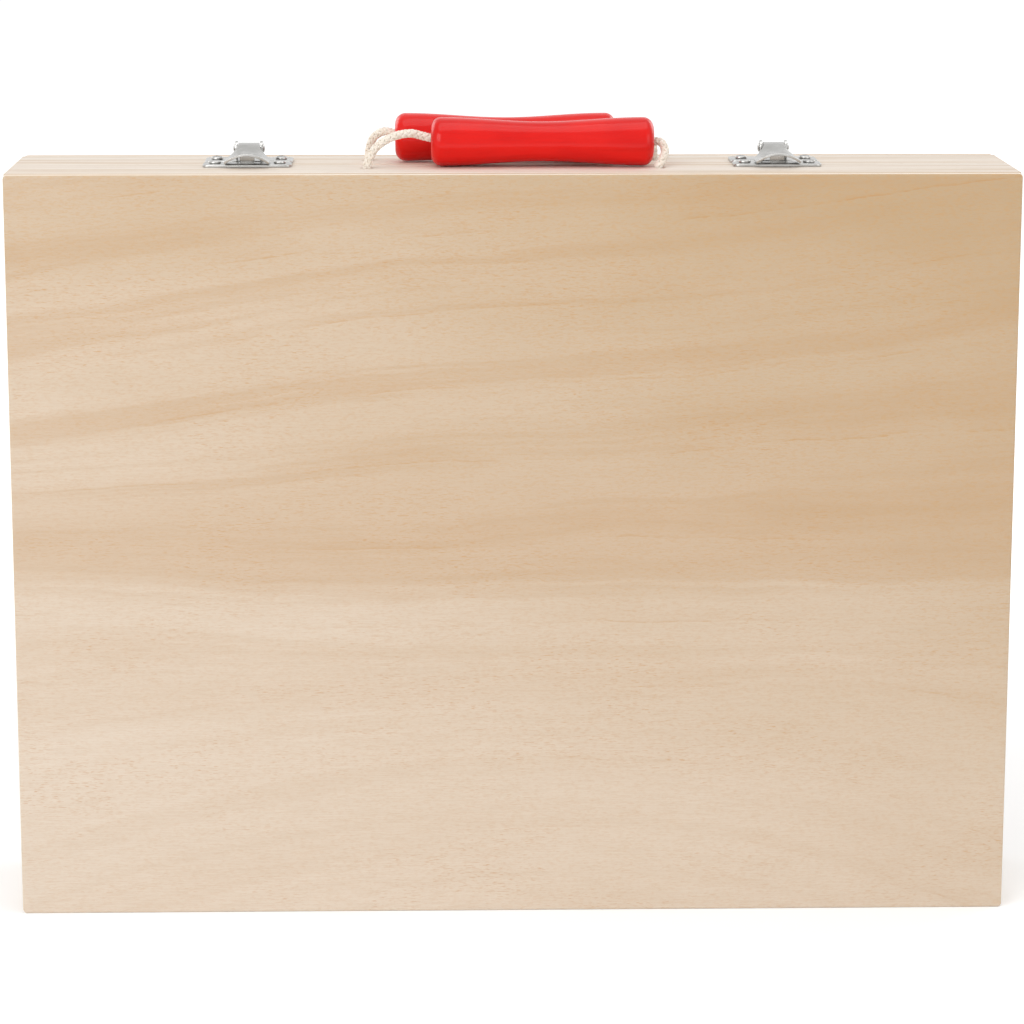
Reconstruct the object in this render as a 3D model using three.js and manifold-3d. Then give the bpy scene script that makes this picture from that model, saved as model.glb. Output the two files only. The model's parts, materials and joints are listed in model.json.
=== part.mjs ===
// A toy tool box: a flat carrying case of pale plywood in two equal halves, hinged along the bottom.
// Each half is a panel on a frame of four rails, with a turned grip on a rope at its top rail.
// Two duckbill latches on the top hold the halves together.
// Millimetres. +X is to the right, +Y to the back and +Z up. The origin is the middle of the bottom.
import * as THREE from "three";
import { mergeVertices } from "three/addons/utils/BufferGeometryUtils.js";
import Module from "manifold-3d";

const wasm = await Module();
wasm.setup();

// Case
const CASE_WIDTH = 340;
const CASE_HEIGHT = 256;
const CASE_DEPTH = 65;
const PANEL = 4;
const PANEL_CORNER = 1.5;
const RAIL = 8;
const SEAM = 0.4; // between the closed halves

// Fits
const SEAT = 0.1; // under a piece that is glued or screwed down
const RUNNING = 0.3; // round a piece that turns or slides
const PIN_CLEARANCE = 0.1; // round a hinge pin
const OVERRUN = 1; // a cut runs this far past the surface

// Grips
const GRIP_LENGTH = 75.6;
const GRIP_END_RADIUS = 8.2;
const GRIP_WAIST_RADIUS = 6.7;
const GRIP_FACE_RADIUS = 4.4;
const GRIP_CORNER = 3.6;
const GRIP_BORE_RADIUS = 3;
const GRIP_SLID = { front: 10, back: -2.2 }; // how far each grip has slid along its rope

// Ropes
const ROPE = 3.1;
const ROPE_HOLE = 4.2;
const ROPE_HOLE_FROM_GRIP = 11.45; // out past each end of a grip that is in the middle
const ROPE_HOLE_FROM_SEAM = 13;
const ROPE_STEP = 2.6;
const KNOT_RADIUS = 4.6;
const KNOT_HEIGHT = 8;
const ROPE_TAIL = 5;

// Latches
const LATCH_FROM_MIDDLE = 90;
const PLATE = 0.9;
const PLATE_WIDTH = 30;
const PLATE_CORNER = 2;
const PLATE_FROM_SEAM = 1;
const BASE_DEPTH = 14;
const CATCH_DEPTH = 10;
const PLATE_SCREW_FROM_MIDDLE = 11;
const PIVOT_FROM_SEAM = 7.5;
const PIVOT_HEIGHT = 4.9; // above the wood
const LATCH_PIN_RADIUS = 0.8;
const LATCH_PIN_HEAD_RADIUS = 1.5;
const LATCH_PIN_HEAD = 0.6;
const EAR = 0.9;
const EAR_RADIUS = 2.4;
const LEVER = 0.8; // sheet thickness
const KNUCKLE_RADIUS = 1.8;
const NECK_WIDTH = 7;
const BILL_WIDTH = 15.6;
const BILL_REACH = 22; // from the pivot to the tip
const BILL_DIP = 4.2; // crown above the wood where the neck meets the bill
const BILL_CROWN = 4.9; // crown above the wood at the tip
const BILL_EDGE = 2; // the arch's sides above the wood
const BILL_TIP_BULGE = 1.2;
const LIP = 0.9;
const LIP_WIDTH = 5;
const LIP_TO_PLATE = 0.8;
const LUG = 1.1;
const LUG_WIDTH = 4.8;
const LUG_HEIGHT = 2.7; // above the wood
const LUG_FROM_SEAM = 5.4;
const LUG_LEAN = 0.25;

// Hinges
const HINGE_FROM_MIDDLE = 105;
const HINGE_LENGTH = 26;
const HINGE_KNUCKLES = 5;
const HINGE_PIN_RADIUS = 0.75;
const BARREL_RADIUS = 1.7;
const BARREL_LIFT = 0.15; // the barrel stays this far above what the case stands on
const LEAF = 0.8;
const LEAF_FROM_EDGE = 0.8; // between the leaf's top and the rail's inner face
const LEAF_SCREW_FROM_MIDDLE = 8;
const OPEN_STOP_DEGREES = 111.5; // where the two chamfers along the seam would meet

// Screws
const PAN_SCREW = { shank: 1, head: 2.1, headHeight: 1.1, length: 6, tip: 1.6 };
const LEAF_SCREW = { shank: 0.75, head: 1.35, headHeight: 0.6, length: 7, tip: 1.4 };

// Worked out from the sizes above
const HALF_DEPTH = CASE_DEPTH / 2;
const ROPE_HOLE_FROM_MIDDLE = GRIP_LENGTH / 2 + ROPE_HOLE_FROM_GRIP;
const RAIL_BACK = HALF_DEPTH - PANEL - SEAT; // distance of the rails' glued face from the seam
const SIDE = { front: -1, back: 1 };
const GRIP_HEIGHT = CASE_HEIGHT + GRIP_END_RADIUS + RUNNING;
const GRIP_FROM_SEAM = GRIP_END_RADIUS + RUNNING / 2;
const HINGE_AXIS = BARREL_RADIUS + BARREL_LIFT;
const LATCH_FLOOR = CASE_HEIGHT + SEAT; // underside of the latch plates

// Number of faces round a form
const SIDES = { grip: 24, rope: 8, knot: 12, screw: 8, pin: 12, barrel: 16, ear: 12, hole: 16 };
const WAIST_STEPS = 12;
const CORNER_STEPS = 4;
const BILL_STEPS = 12;
const ARCH_STEPS = 12;
const KNOT_STEPS = 6;
const MOST_ROPE_STEPS = 80;
const TAU = 2 * Math.PI;

// Colours and finishes
function finish(color, roughness, metalness) {
  return () => new THREE.MeshStandardMaterial({ color, roughness, metalness });
}
const plywood = finish(0xdcc09c, 0.62, 0);
const railWood = finish(0xe2c9a6, 0.66, 0);
const redPaint = finish(0xd02a22, 0.22, 0);
const cotton = finish(0xe9e2d2, 0.95, 0);
const nickel = finish(0xb9bbbd, 0.24, 1);
const steel = finish(0x9c9fa2, 0.32, 1);

// A closed geometry as a solid that can be cut and joined
function solid(geometry) {
  const bare = geometry.index ? geometry.toNonIndexed() : geometry.clone();
  bare.deleteAttribute("normal");
  bare.deleteAttribute("uv");
  const merged = mergeVertices(bare);
  const index = merged.index.array;
  const kept = [];
  for (let i = 0; i < index.length; i += 3) {
    const [a, b, c] = [index[i], index[i + 1], index[i + 2]];
    if (a !== b && b !== c && c !== a) kept.push(a, b, c);
  }
  const vertProperties = merged.attributes.position.array;
  const triVerts = new Uint32Array(kept);
  return new wasm.Manifold(new wasm.Mesh({ numProp: 3, vertProperties, triVerts }));
}

// A solid as a geometry again
function geometryOf(body) {
  const { vertProperties, triVerts } = body.getMesh();
  const geometry = new THREE.BufferGeometry();
  geometry.setAttribute("position", new THREE.BufferAttribute(vertProperties, 3));
  geometry.setIndex(new THREE.BufferAttribute(triVerts, 1));
  geometry.computeVertexNormals();
  return geometry;
}

function joined(bodies) {
  return bodies.reduce((whole, body) => whole.add(body));
}

function cut(body, tools) {
  return tools.reduce((rest, tool) => rest.subtract(tool), body);
}

// Basic forms, each given by the ranges that it fills
function block([x0, x1], [y0, y1], [z0, z1]) {
  const box = new THREE.BoxGeometry(x1 - x0, y1 - y0, z1 - z0);
  return solid(box.translate((x0 + x1) / 2, (y0 + y1) / 2, (z0 + z1) / 2));
}

function rodAlongX(radius, [x0, x1], y, z, sides) {
  const rod = new THREE.CylinderGeometry(radius, radius, x1 - x0, sides);
  return solid(rod.rotateZ(Math.PI / 2).translate((x0 + x1) / 2, y, z));
}

function rodAlongZ(radius, x, y, [z0, z1], sides) {
  const rod = new THREE.CylinderGeometry(radius, radius, z1 - z0, sides);
  return solid(rod.rotateX(Math.PI / 2).translate(x, y, (z0 + z1) / 2));
}

// A profile in Y and Z, drawn out along X
function alongX(shape, [x0, x1]) {
  const bar = new THREE.ExtrudeGeometry(shape, {
    depth: x1 - x0, bevelEnabled: false, curveSegments: SIDES.ear / 2,
  });
  const turn = new THREE.Matrix4().makeBasis(
    new THREE.Vector3(0, 1, 0),
    new THREE.Vector3(0, 0, 1),
    new THREE.Vector3(1, 0, 0),
  );
  return solid(bar.applyMatrix4(turn).translate(x0, 0, 0));
}

// A profile in X and Z, drawn out along Y
function alongY(shape, [y0, y1]) {
  const slab = new THREE.ExtrudeGeometry(shape, {
    depth: y1 - y0, bevelEnabled: false, curveSegments: CORNER_STEPS / 2,
  });
  return solid(slab.rotateX(Math.PI / 2).translate(0, y1, 0));
}

// A profile in X and Y, drawn out along Z
function alongZ(shape, [z0, z1]) {
  const slab = new THREE.ExtrudeGeometry(shape, {
    depth: z1 - z0, bevelEnabled: false, curveSegments: CORNER_STEPS / 2,
  });
  return solid(slab.translate(0, 0, z0));
}

function outline(points) {
  return new THREE.Shape(points.map(([a, b]) => new THREE.Vector2(a, b)));
}

function roundedRectangle([a0, a1], [b0, b1], radius) {
  const shape = new THREE.Shape();
  shape.moveTo(a0 + radius, b0);
  shape.lineTo(a1 - radius, b0);
  shape.absarc(a1 - radius, b0 + radius, radius, -Math.PI / 2, 0);
  shape.lineTo(a1, b1 - radius);
  shape.absarc(a1 - radius, b1 - radius, radius, 0, Math.PI / 2);
  shape.lineTo(a0 + radius, b1);
  shape.absarc(a0 + radius, b1 - radius, radius, Math.PI / 2, Math.PI);
  shape.lineTo(a0, b0 + radius);
  shape.absarc(a0 + radius, b0 + radius, radius, Math.PI, 1.5 * Math.PI);
  return shape;
}

// The range of Y between two distances from the seam, on the front or the back
function fromSeam(half, near, far) {
  return half === "front" ? [-far, -near] : [near, far];
}

function middle(at, length) {
  return [at - length / 2, at + length / 2];
}

function smooth(t) {
  const held = Math.min(Math.max(t, 0), 1);
  return held * held * (3 - 2 * held);
}

// Screws, drawn with the point down and the head's seat at zero
function panScrewSolid() {
  const { shank, head, headHeight, length, tip } = PAN_SCREW;
  const dome = [0, 1, 2].map((i) => {
    const angle = (i / 3) * (Math.PI / 2);
    return [head * Math.cos(angle), (headHeight / 2) * (1 + Math.sin(angle))];
  });
  const profile = [[0, -length], [shank, tip - length], [shank, 0], [head, 0], ...dome, [0, headHeight]];
  return turned(profile, SIDES.screw);
}

function leafScrewSolid(clearance = 0) {
  const { shank, head, headHeight, length, tip } = LEAF_SCREW;
  const body = shank + clearance;
  const end = length + clearance;
  const profile = [
    [0, -end],
    [body, tip - end],
    [body, -headHeight - clearance],
    [head + clearance, 0],
    [head + clearance, clearance],
    [0, clearance],
  ];
  return turned(profile, SIDES.screw);
}

// A profile of radius and height, turned about the Z axis
function turned(profile, sides) {
  const points = profile.map(([radius, height]) => new THREE.Vector2(radius, height));
  return solid(new THREE.LatheGeometry(points, sides).rotateX(Math.PI / 2));
}

// Where the screws go: the latch plates' screws point down, and the hinge leaves' away from the seam
function plateScrewPlaces(half) {
  const depth = half === "front" ? CATCH_DEPTH : BASE_DEPTH;
  const y = SIDE[half] * (PLATE_FROM_SEAM + depth / 2);
  return [-1, 1].flatMap((latch) =>
    [-1, 1].map((end) => [latch * LATCH_FROM_MIDDLE + end * PLATE_SCREW_FROM_MIDDLE, y]),
  );
}

function leafScrewPlaces() {
  const low = HINGE_AXIS + BARREL_RADIUS + RUNNING;
  const z = (low + RAIL - LEAF_FROM_EDGE) / 2;
  return [-1, 1].flatMap((hinge) =>
    [-1, 1].map((end) => [hinge * HINGE_FROM_MIDDLE + end * LEAF_SCREW_FROM_MIDDLE, z]),
  );
}

function panScrewAt([x, y]) {
  return panScrewSolid().translate([x, y, LATCH_FLOOR + PLATE + SEAT]);
}

function panPilotAt([x, y]) {
  const top = CASE_HEIGHT + OVERRUN;
  const bottom = CASE_HEIGHT - PAN_SCREW.length;
  return rodAlongZ(PAN_SCREW.shank + SEAT, x, y, [bottom, top], SIDES.screw);
}

function leafScrewAt([x, z], half, clearance = 0) {
  const turn = half === "front" ? -90 : 90;
  const y = SIDE[half] * (SEAM / 2 + SEAT / 2);
  return leafScrewSolid(clearance).rotate([turn, 0, 0]).translate([x, y, z]);
}

// Wood
function panel(half) {
  const face = roundedRectangle(middle(0, CASE_WIDTH), [0, CASE_HEIGHT], PANEL_CORNER);
  return alongY(face, fromSeam(half, HALF_DEPTH - PANEL, HALF_DEPTH));
}

function topRail(half) {
  const range = [CASE_HEIGHT - RAIL, CASE_HEIGHT];
  const bar = block(middle(0, CASE_WIDTH), fromSeam(half, SEAM / 2, RAIL_BACK), range);
  const through = [range[0] - OVERRUN, range[1] + OVERRUN];
  const ropeHoles = [-1, 1].map((end) =>
    rodAlongZ(
      ROPE_HOLE / 2, end * ROPE_HOLE_FROM_MIDDLE, SIDE[half] * ROPE_HOLE_FROM_SEAM, through, SIDES.hole,
    ),
  );
  return cut(bar, [...ropeHoles, ...plateScrewPlaces(half).map(panPilotAt)]);
}

// The chamfers along the seam aim at the hinge axis, so they meet flat when the case is fully open
function bottomRailProfile(half) {
  const slope = Math.tan(THREE.MathUtils.degToRad(OPEN_STOP_DEGREES / 2));
  const rim = SEAM / 2;
  const points = [
    [rim, RAIL],
    [rim, HINGE_AXIS - rim / slope],
    [HINGE_AXIS * slope, 0],
    [RAIL_BACK, 0],
    [RAIL_BACK, RAIL],
  ];
  return outline(points.map(([out, z]) => [SIDE[half] * out, z]));
}

function bottomRail(half) {
  const bar = alongX(bottomRailProfile(half), middle(0, CASE_WIDTH));
  const recesses = [-1, 1].flatMap((hinge) => {
    const along = middle(hinge * HINGE_FROM_MIDDLE, HINGE_LENGTH + 2 * RUNNING);
    const mortise = fromSeam(half, -SEAM, SEAM / 2 + LEAF + SEAT);
    return [
      rodAlongX(BARREL_RADIUS + RUNNING, along, 0, HINGE_AXIS, SIDES.barrel),
      block(along, mortise, [HINGE_AXIS, RAIL - LEAF_FROM_EDGE + SEAT]),
    ];
  });
  const pilots = leafScrewPlaces().map((place) => leafScrewAt(place, half, SEAT));
  return cut(bar, [...recesses, ...pilots]);
}

function sideRail(half, end) {
  const outer = end * (CASE_WIDTH / 2);
  const inner = end * (CASE_WIDTH / 2 - RAIL);
  const across = [Math.min(outer, inner), Math.max(outer, inner)];
  return block(across, fromSeam(half, SEAM / 2, RAIL_BACK), [RAIL + SEAT, CASE_HEIGHT - RAIL - SEAT]);
}

// A turned grip with fat round ends, a long waist and a bore for the rope
function grip(half) {
  const end = GRIP_LENGTH / 2;
  const corner = [];
  for (let i = 0; i <= CORNER_STEPS; i += 1) {
    const angle = (i / CORNER_STEPS) * (Math.PI / 2);
    corner.push([
      GRIP_FACE_RADIUS + (GRIP_END_RADIUS - GRIP_FACE_RADIUS) * Math.sin(angle),
      GRIP_CORNER * (1 - Math.cos(angle)) - end,
    ]);
  }
  const waist = [];
  const reach = end - GRIP_CORNER;
  for (let i = 1; i < WAIST_STEPS; i += 1) {
    const share = (2 * i) / WAIST_STEPS - 1;
    const swell = (1 - Math.cos(Math.PI * share)) / 2;
    waist.push([GRIP_WAIST_RADIUS + (GRIP_END_RADIUS - GRIP_WAIST_RADIUS) * swell, share * reach]);
  }
  const far = corner.map(([radius, along]) => [radius, -along]).reverse();
  const profile = [[GRIP_BORE_RADIUS, -end], ...corner, ...waist, ...far, [GRIP_BORE_RADIUS, end]];
  profile.push(profile[0]);
  const y = SIDE[half] * GRIP_FROM_SEAM;
  return turned(profile, SIDES.grip).rotate([0, 90, 0]).translate([GRIP_SLID[half], y, GRIP_HEIGHT]);
}

// The rope's way from a hole's mouth to the grip's end: outward along X, in towards the seam and up.
// The first points are measured from the hole's mouth, and the last ones from the grip's end.
const ROPE_ROUTES = {
  front: {
    left: {
      hole: [[0, 0, 1.4], [-3.0, 0.6, 6.9], [-8.8, 1.9, 10.4], [-14.8, 3.4, 11.4]],
      grip: [[3.4, 0, 2.1], [0, 0, 1.3]],
    },
    right: {
      hole: [[0, 0, 0.6], [1.2, 0.7, 2.4], [2.3, 2.6, 5.4]],
      grip: [[2.5, -0.3, -0.3], [0, 0, 0]],
    },
  },
  back: {
    left: {
      hole: [[0, 0, 1.2], [-0.4, 0.4, 4.2], [-1.9, 1.9, 8.1]],
      grip: [[3.6, -0.8, 1.9], [0, 0, 1.3]],
    },
    right: {
      hole: [[0, 0, 1.2], [-0.6, 0.5, 5.6], [-4.2, 2.2, 9.6]],
      grip: [[4.4, -0.4, 1.6], [0, 0, 0.6]],
    },
  },
};

function ropeEnd(half, name) {
  const way = name === "left" ? -1 : 1;
  const inward = -SIDE[half];
  const hole = [way * ROPE_HOLE_FROM_MIDDLE, SIDE[half] * ROPE_HOLE_FROM_SEAM, CASE_HEIGHT];
  const face = [GRIP_SLID[half] + way * (GRIP_LENGTH / 2), SIDE[half] * GRIP_FROM_SEAM, GRIP_HEIGHT];
  const from = (place, [out, into, up]) =>
    new THREE.Vector3(place[0] + way * out, place[1] + inward * into, place[2] + up);
  const route = ROPE_ROUTES[half][name];
  const below = -RAIL - RUNNING - KNOT_HEIGHT / 2;
  return [
    from(hole, [0, 0, below]),
    from(hole, [0, 0, -RAIL / 2]),
    from(hole, [0, 0, 0]),
    ...route.hole.map((step) => from(hole, step)),
    ...route.grip.map((step) => from(face, step)),
  ];
}

function knot(half, way) {
  const top = -RUNNING;
  const swell = [];
  for (let i = 0; i <= KNOT_STEPS; i += 1) {
    const angle = (i / KNOT_STEPS - 0.5) * Math.PI;
    swell.push([
      ROPE / 2 + (KNOT_RADIUS - ROPE / 2) * Math.cos(angle),
      top + (KNOT_HEIGHT / 2) * (Math.sin(angle) - 1),
    ]);
  }
  const tail = top - KNOT_HEIGHT - ROPE_TAIL;
  const profile = [[0, tail], [ROPE / 2, tail], ...swell, [0, top]];
  const x = way * ROPE_HOLE_FROM_MIDDLE;
  return turned(profile, SIDES.knot).translate([x, SIDE[half] * ROPE_HOLE_FROM_SEAM, CASE_HEIGHT - RAIL]);
}

function rope(half) {
  const left = ropeEnd(half, "left");
  const right = ropeEnd(half, "right").reverse();
  const inside = new THREE.Vector3(GRIP_SLID[half], SIDE[half] * GRIP_FROM_SEAM, GRIP_HEIGHT);
  const route = new THREE.CatmullRomCurve3([...left, inside, ...right], false, "centripetal");
  const section = new THREE.Shape();
  section.absarc(0, 0, ROPE / 2, 0, TAU);
  const steps = Math.min(MOST_ROPE_STEPS, Math.round(route.getLength() / ROPE_STEP));
  const tube = new THREE.ExtrudeGeometry(section, {
    steps, extrudePath: route, bevelEnabled: false, curveSegments: SIDES.rope / 2,
  });
  return joined([solid(tube), knot(half, -1), knot(half, 1)]);
}

// Latch, drawn at the middle of the top with the seam at zero
function plateOutline(half, depth) {
  const y = fromSeam(half, PLATE_FROM_SEAM, PLATE_FROM_SEAM + depth);
  return roundedRectangle(middle(0, PLATE_WIDTH), y, PLATE_CORNER);
}

function plateHoles(half, depth) {
  const y = SIDE[half] * (PLATE_FROM_SEAM + depth / 2);
  const range = [LATCH_FLOOR - OVERRUN, LATCH_FLOOR + PLATE + OVERRUN];
  return [-1, 1].map((end) =>
    rodAlongZ(PAN_SCREW.shank + SEAT, end * PLATE_SCREW_FROM_MIDDLE, y, range, SIDES.hole),
  );
}

function earShape() {
  const pivot = CASE_HEIGHT + PIVOT_HEIGHT;
  const shape = new THREE.Shape();
  shape.moveTo(PIVOT_FROM_SEAM - EAR_RADIUS, LATCH_FLOOR);
  shape.lineTo(PIVOT_FROM_SEAM + EAR_RADIUS, LATCH_FLOOR);
  shape.lineTo(PIVOT_FROM_SEAM + EAR_RADIUS, pivot);
  shape.absarc(PIVOT_FROM_SEAM, pivot, EAR_RADIUS, 0, Math.PI);
  return shape;
}

function latchBase() {
  const pivot = CASE_HEIGHT + PIVOT_HEIGHT;
  const plate = alongZ(plateOutline("back", BASE_DEPTH), [LATCH_FLOOR, LATCH_FLOOR + PLATE]);
  const inner = NECK_WIDTH / 2 + RUNNING;
  const ears = [[inner, inner + EAR], [-inner - EAR, -inner]].map((range) => alongX(earShape(), range));
  const bore = rodAlongX(
    LATCH_PIN_RADIUS + PIN_CLEARANCE, middle(0, PLATE_WIDTH), PIVOT_FROM_SEAM, pivot, SIDES.pin,
  );
  return cut(joined([plate, ...ears]), [bore, ...plateHoles("back", BASE_DEPTH)]);
}

function latchPin() {
  const pivot = CASE_HEIGHT + PIVOT_HEIGHT;
  const out = NECK_WIDTH / 2 + RUNNING + EAR + SEAT;
  const place = (radius, range) => rodAlongX(radius, range, PIVOT_FROM_SEAM, pivot, SIDES.pin);
  return joined([
    place(LATCH_PIN_RADIUS, [-out - LATCH_PIN_HEAD / 2, out + LATCH_PIN_HEAD / 2]),
    place(LATCH_PIN_HEAD_RADIUS, [out, out + LATCH_PIN_HEAD]),
    place(LATCH_PIN_HEAD_RADIUS, [-out - LATCH_PIN_HEAD, -out]),
  ]);
}

// The duckbill lever: a sheet that leaves the top of its knuckle, dips, flares and arches into the bill
const FLARE_START_SHARE = 0.12;
const FLARE_END_SHARE = 0.58;
const DIP_SHARE = 0.62;

function crownAt(share) {
  const top = PIVOT_HEIGHT + KNUCKLE_RADIUS;
  if (share < DIP_SHARE) return top + (BILL_DIP - top) * smooth(share / DIP_SHARE);
  return BILL_DIP + (BILL_CROWN - BILL_DIP) * smooth((share - DIP_SHARE) / (1 - DIP_SHARE));
}

function billSection(share) {
  const flare = smooth((share - FLARE_START_SHARE) / (FLARE_END_SHARE - FLARE_START_SHARE));
  const half = NECK_WIDTH / 2 + ((BILL_WIDTH - NECK_WIDTH) / 2) * flare;
  const drop = (crownAt(share) - BILL_EDGE) * flare;
  const crown = CASE_HEIGHT + crownAt(share);
  const back = PIVOT_FROM_SEAM - BILL_REACH * share;
  const outer = [];
  const inner = [];
  for (let i = 0; i <= ARCH_STEPS; i += 1) {
    const t = (2 * i) / ARCH_STEPS - 1;
    const slope = (2 * drop * t) / half;
    const norm = Math.hypot(slope, 1);
    const y = back + BILL_TIP_BULGE * flare * t * t;
    const [x, z] = [half * t, crown - drop * t * t];
    outer.push([x, y, z]);
    inner.push([x - (LEVER * slope) / norm, y, z - LEVER / norm]);
  }
  return [...outer, ...inner.reverse()];
}

function billSheet() {
  const rings = [];
  for (let i = 0; i <= BILL_STEPS; i += 1) rings.push(billSection(i / BILL_STEPS));
  const size = rings[0].length;
  const faces = [];
  const at = (ring, i) => ring * size + (i % size);
  for (let ring = 0; ring < BILL_STEPS; ring += 1) {
    for (let i = 0; i < size; i += 1) {
      faces.push(at(ring, i), at(ring + 1, i), at(ring + 1, i + 1));
      faces.push(at(ring, i), at(ring + 1, i + 1), at(ring, i + 1));
    }
  }
  for (let i = 0; i < size / 2 - 1; i += 1) {
    const [a, b, c, d] = [i, i + 1, size - 2 - i, size - 1 - i];
    faces.push(at(0, a), at(0, b), at(0, c), at(0, a), at(0, c), at(0, d));
    faces.push(at(BILL_STEPS, a), at(BILL_STEPS, c), at(BILL_STEPS, b));
    faces.push(at(BILL_STEPS, a), at(BILL_STEPS, d), at(BILL_STEPS, c));
  }
  const geometry = new THREE.BufferGeometry();
  geometry.setAttribute("position", new THREE.Float32BufferAttribute(rings.flat(2), 3));
  geometry.setIndex(faces);
  return solid(geometry);
}

function latchLever() {
  const pivot = CASE_HEIGHT + PIVOT_HEIGHT;
  const width = middle(0, NECK_WIDTH);
  const knuckle = rodAlongX(KNUCKLE_RADIUS, width, PIVOT_FROM_SEAM, pivot, SIDES.barrel);
  const bore = rodAlongX(
    LATCH_PIN_RADIUS + PIN_CLEARANCE, middle(0, 2 * NECK_WIDTH), PIVOT_FROM_SEAM, pivot, SIDES.pin,
  );
  const lipFront = -LUG_FROM_SEAM - LUG - LUG_LEAN - RUNNING;
  const lipShare = (PIVOT_FROM_SEAM - lipFront) / BILL_REACH;
  const lip = block(
    middle(0, LIP_WIDTH),
    [lipFront - LIP, lipFront],
    [LATCH_FLOOR + PLATE + LIP_TO_PLATE, CASE_HEIGHT + crownAt(lipShare) - LEVER / 2],
  );
  return joined([billSheet(), knuckle, lip]).subtract(bore);
}

// The catch plate, with a lug that leans forward behind the lever's lip
function catchPlate() {
  const plate = alongZ(plateOutline("front", CATCH_DEPTH), [LATCH_FLOOR, LATCH_FLOOR + PLATE]);
  const top = CASE_HEIGHT + LUG_HEIGHT;
  const foot = -LUG_FROM_SEAM;
  const shape = new THREE.Shape();
  shape.moveTo(foot, LATCH_FLOOR);
  shape.lineTo(foot - LUG_LEAN, top - LUG / 2);
  shape.absarc(foot - LUG_LEAN - LUG / 2, top - LUG / 2, LUG / 2, 0, Math.PI);
  shape.lineTo(foot - LUG, LATCH_FLOOR);
  const lug = alongX(shape, middle(0, LUG_WIDTH));
  return cut(joined([plate, lug]), plateHoles("front", CATCH_DEPTH));
}

// Butt hinge, drawn at the middle of the bottom seam: the back leaf has every second knuckle
function knuckleRange(i) {
  const pitch = HINGE_LENGTH / HINGE_KNUCKLES;
  const start = i * pitch - HINGE_LENGTH / 2;
  return [start + SEAT, start + pitch - SEAT];
}

function hingeLeaf(half) {
  const own = half === "front" ? 0 : 1;
  const sheet = fromSeam(half, SEAM / 2, SEAM / 2 + LEAF);
  const low = HINGE_AXIS + BARREL_RADIUS + RUNNING;
  const along = middle(0, HINGE_LENGTH);
  const bodies = [block(along, sheet, [low, RAIL - LEAF_FROM_EDGE])];
  for (let i = own; i < HINGE_KNUCKLES; i += 2) {
    const range = knuckleRange(i);
    bodies.push(rodAlongX(BARREL_RADIUS, range, 0, HINGE_AXIS, SIDES.barrel));
    bodies.push(block(range, sheet, [HINGE_AXIS, low + LEAF]));
  }
  const bore = rodAlongX(
    HINGE_PIN_RADIUS + PIN_CLEARANCE, middle(0, 2 * HINGE_LENGTH), 0, HINGE_AXIS, SIDES.barrel,
  );
  const sinks = leafScrewPlaces()
    .filter(([x]) => x > 0)
    .map(([x, z]) => leafScrewAt([x - HINGE_FROM_MIDDLE, z], half, SEAT));
  return cut(joined(bodies), [bore, ...sinks]);
}

function hingePin() {
  return rodAlongX(HINGE_PIN_RADIUS, middle(0, HINGE_LENGTH), 0, HINGE_AXIS, SIDES.barrel);
}

// Assembly
const box = new THREE.Group();

function put(name, body, material, x = 0) {
  const mesh = new THREE.Mesh(geometryOf(body), material());
  mesh.name = name;
  mesh.position.x = x;
  box.add(mesh);
}

for (const half of ["front", "back"]) {
  put(`${half}_panel`, panel(half), plywood);
  put(`${half}_top_rail`, topRail(half), railWood);
  put(`${half}_bottom_rail`, bottomRail(half), railWood);
  put(`${half}_left_rail`, sideRail(half, -1), railWood);
  put(`${half}_right_rail`, sideRail(half, 1), railWood);
  put(`${half}_grip`, grip(half), redPaint);
  put(`${half}_rope`, rope(half), cotton);
  const latchNames = ["left_inner", "left_outer", "right_inner", "right_outer"];
  const inOrder = (places) => [places[1], places[0], places[2], places[3]];
  inOrder(plateScrewPlaces(half)).forEach((place, i) => {
    put(`${half}_latch_screw_${latchNames[i]}`, panScrewAt(place), nickel);
  });
  inOrder(leafScrewPlaces()).forEach((place, i) => {
    put(`${half}_hinge_screw_${latchNames[i]}`, leafScrewAt(place, half), steel);
  });
}

for (const [name, way] of [["left", -1], ["right", 1]]) {
  const latchX = way * LATCH_FROM_MIDDLE;
  put(`${name}_latch_base`, latchBase(), nickel, latchX);
  put(`${name}_latch_pin`, latchPin(), steel, latchX);
  put(`${name}_latch_lever`, latchLever(), nickel, latchX);
  put(`${name}_catch_plate`, catchPlate(), nickel, latchX);
  const hingeX = way * HINGE_FROM_MIDDLE;
  put(`${name}_hinge_front_leaf`, hingeLeaf("front"), steel, hingeX);
  put(`${name}_hinge_back_leaf`, hingeLeaf("back"), steel, hingeX);
  put(`${name}_hinge_pin`, hingePin(), steel, hingeX);
}

export default box;
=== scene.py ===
# %% [markdown]
# # A toy tool box and its finishes
# The real thing is a flat carrying case of pale plywood in two halves, hinged along the bottom.
# Two red grips on cotton ropes and two small nickel latches sit on its top.
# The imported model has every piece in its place, so it is loaded first and never moved. Each plain
# solid is then covered by a finer piece: rounded wood, bent sheet metal, plaited rope.
# Pieces are shaped in millimetres, which are easier to think in here, and made metres last.

# %% Load the model
import json
import math

import bmesh
import bpy
from mathutils import Matrix, Vector


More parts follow.
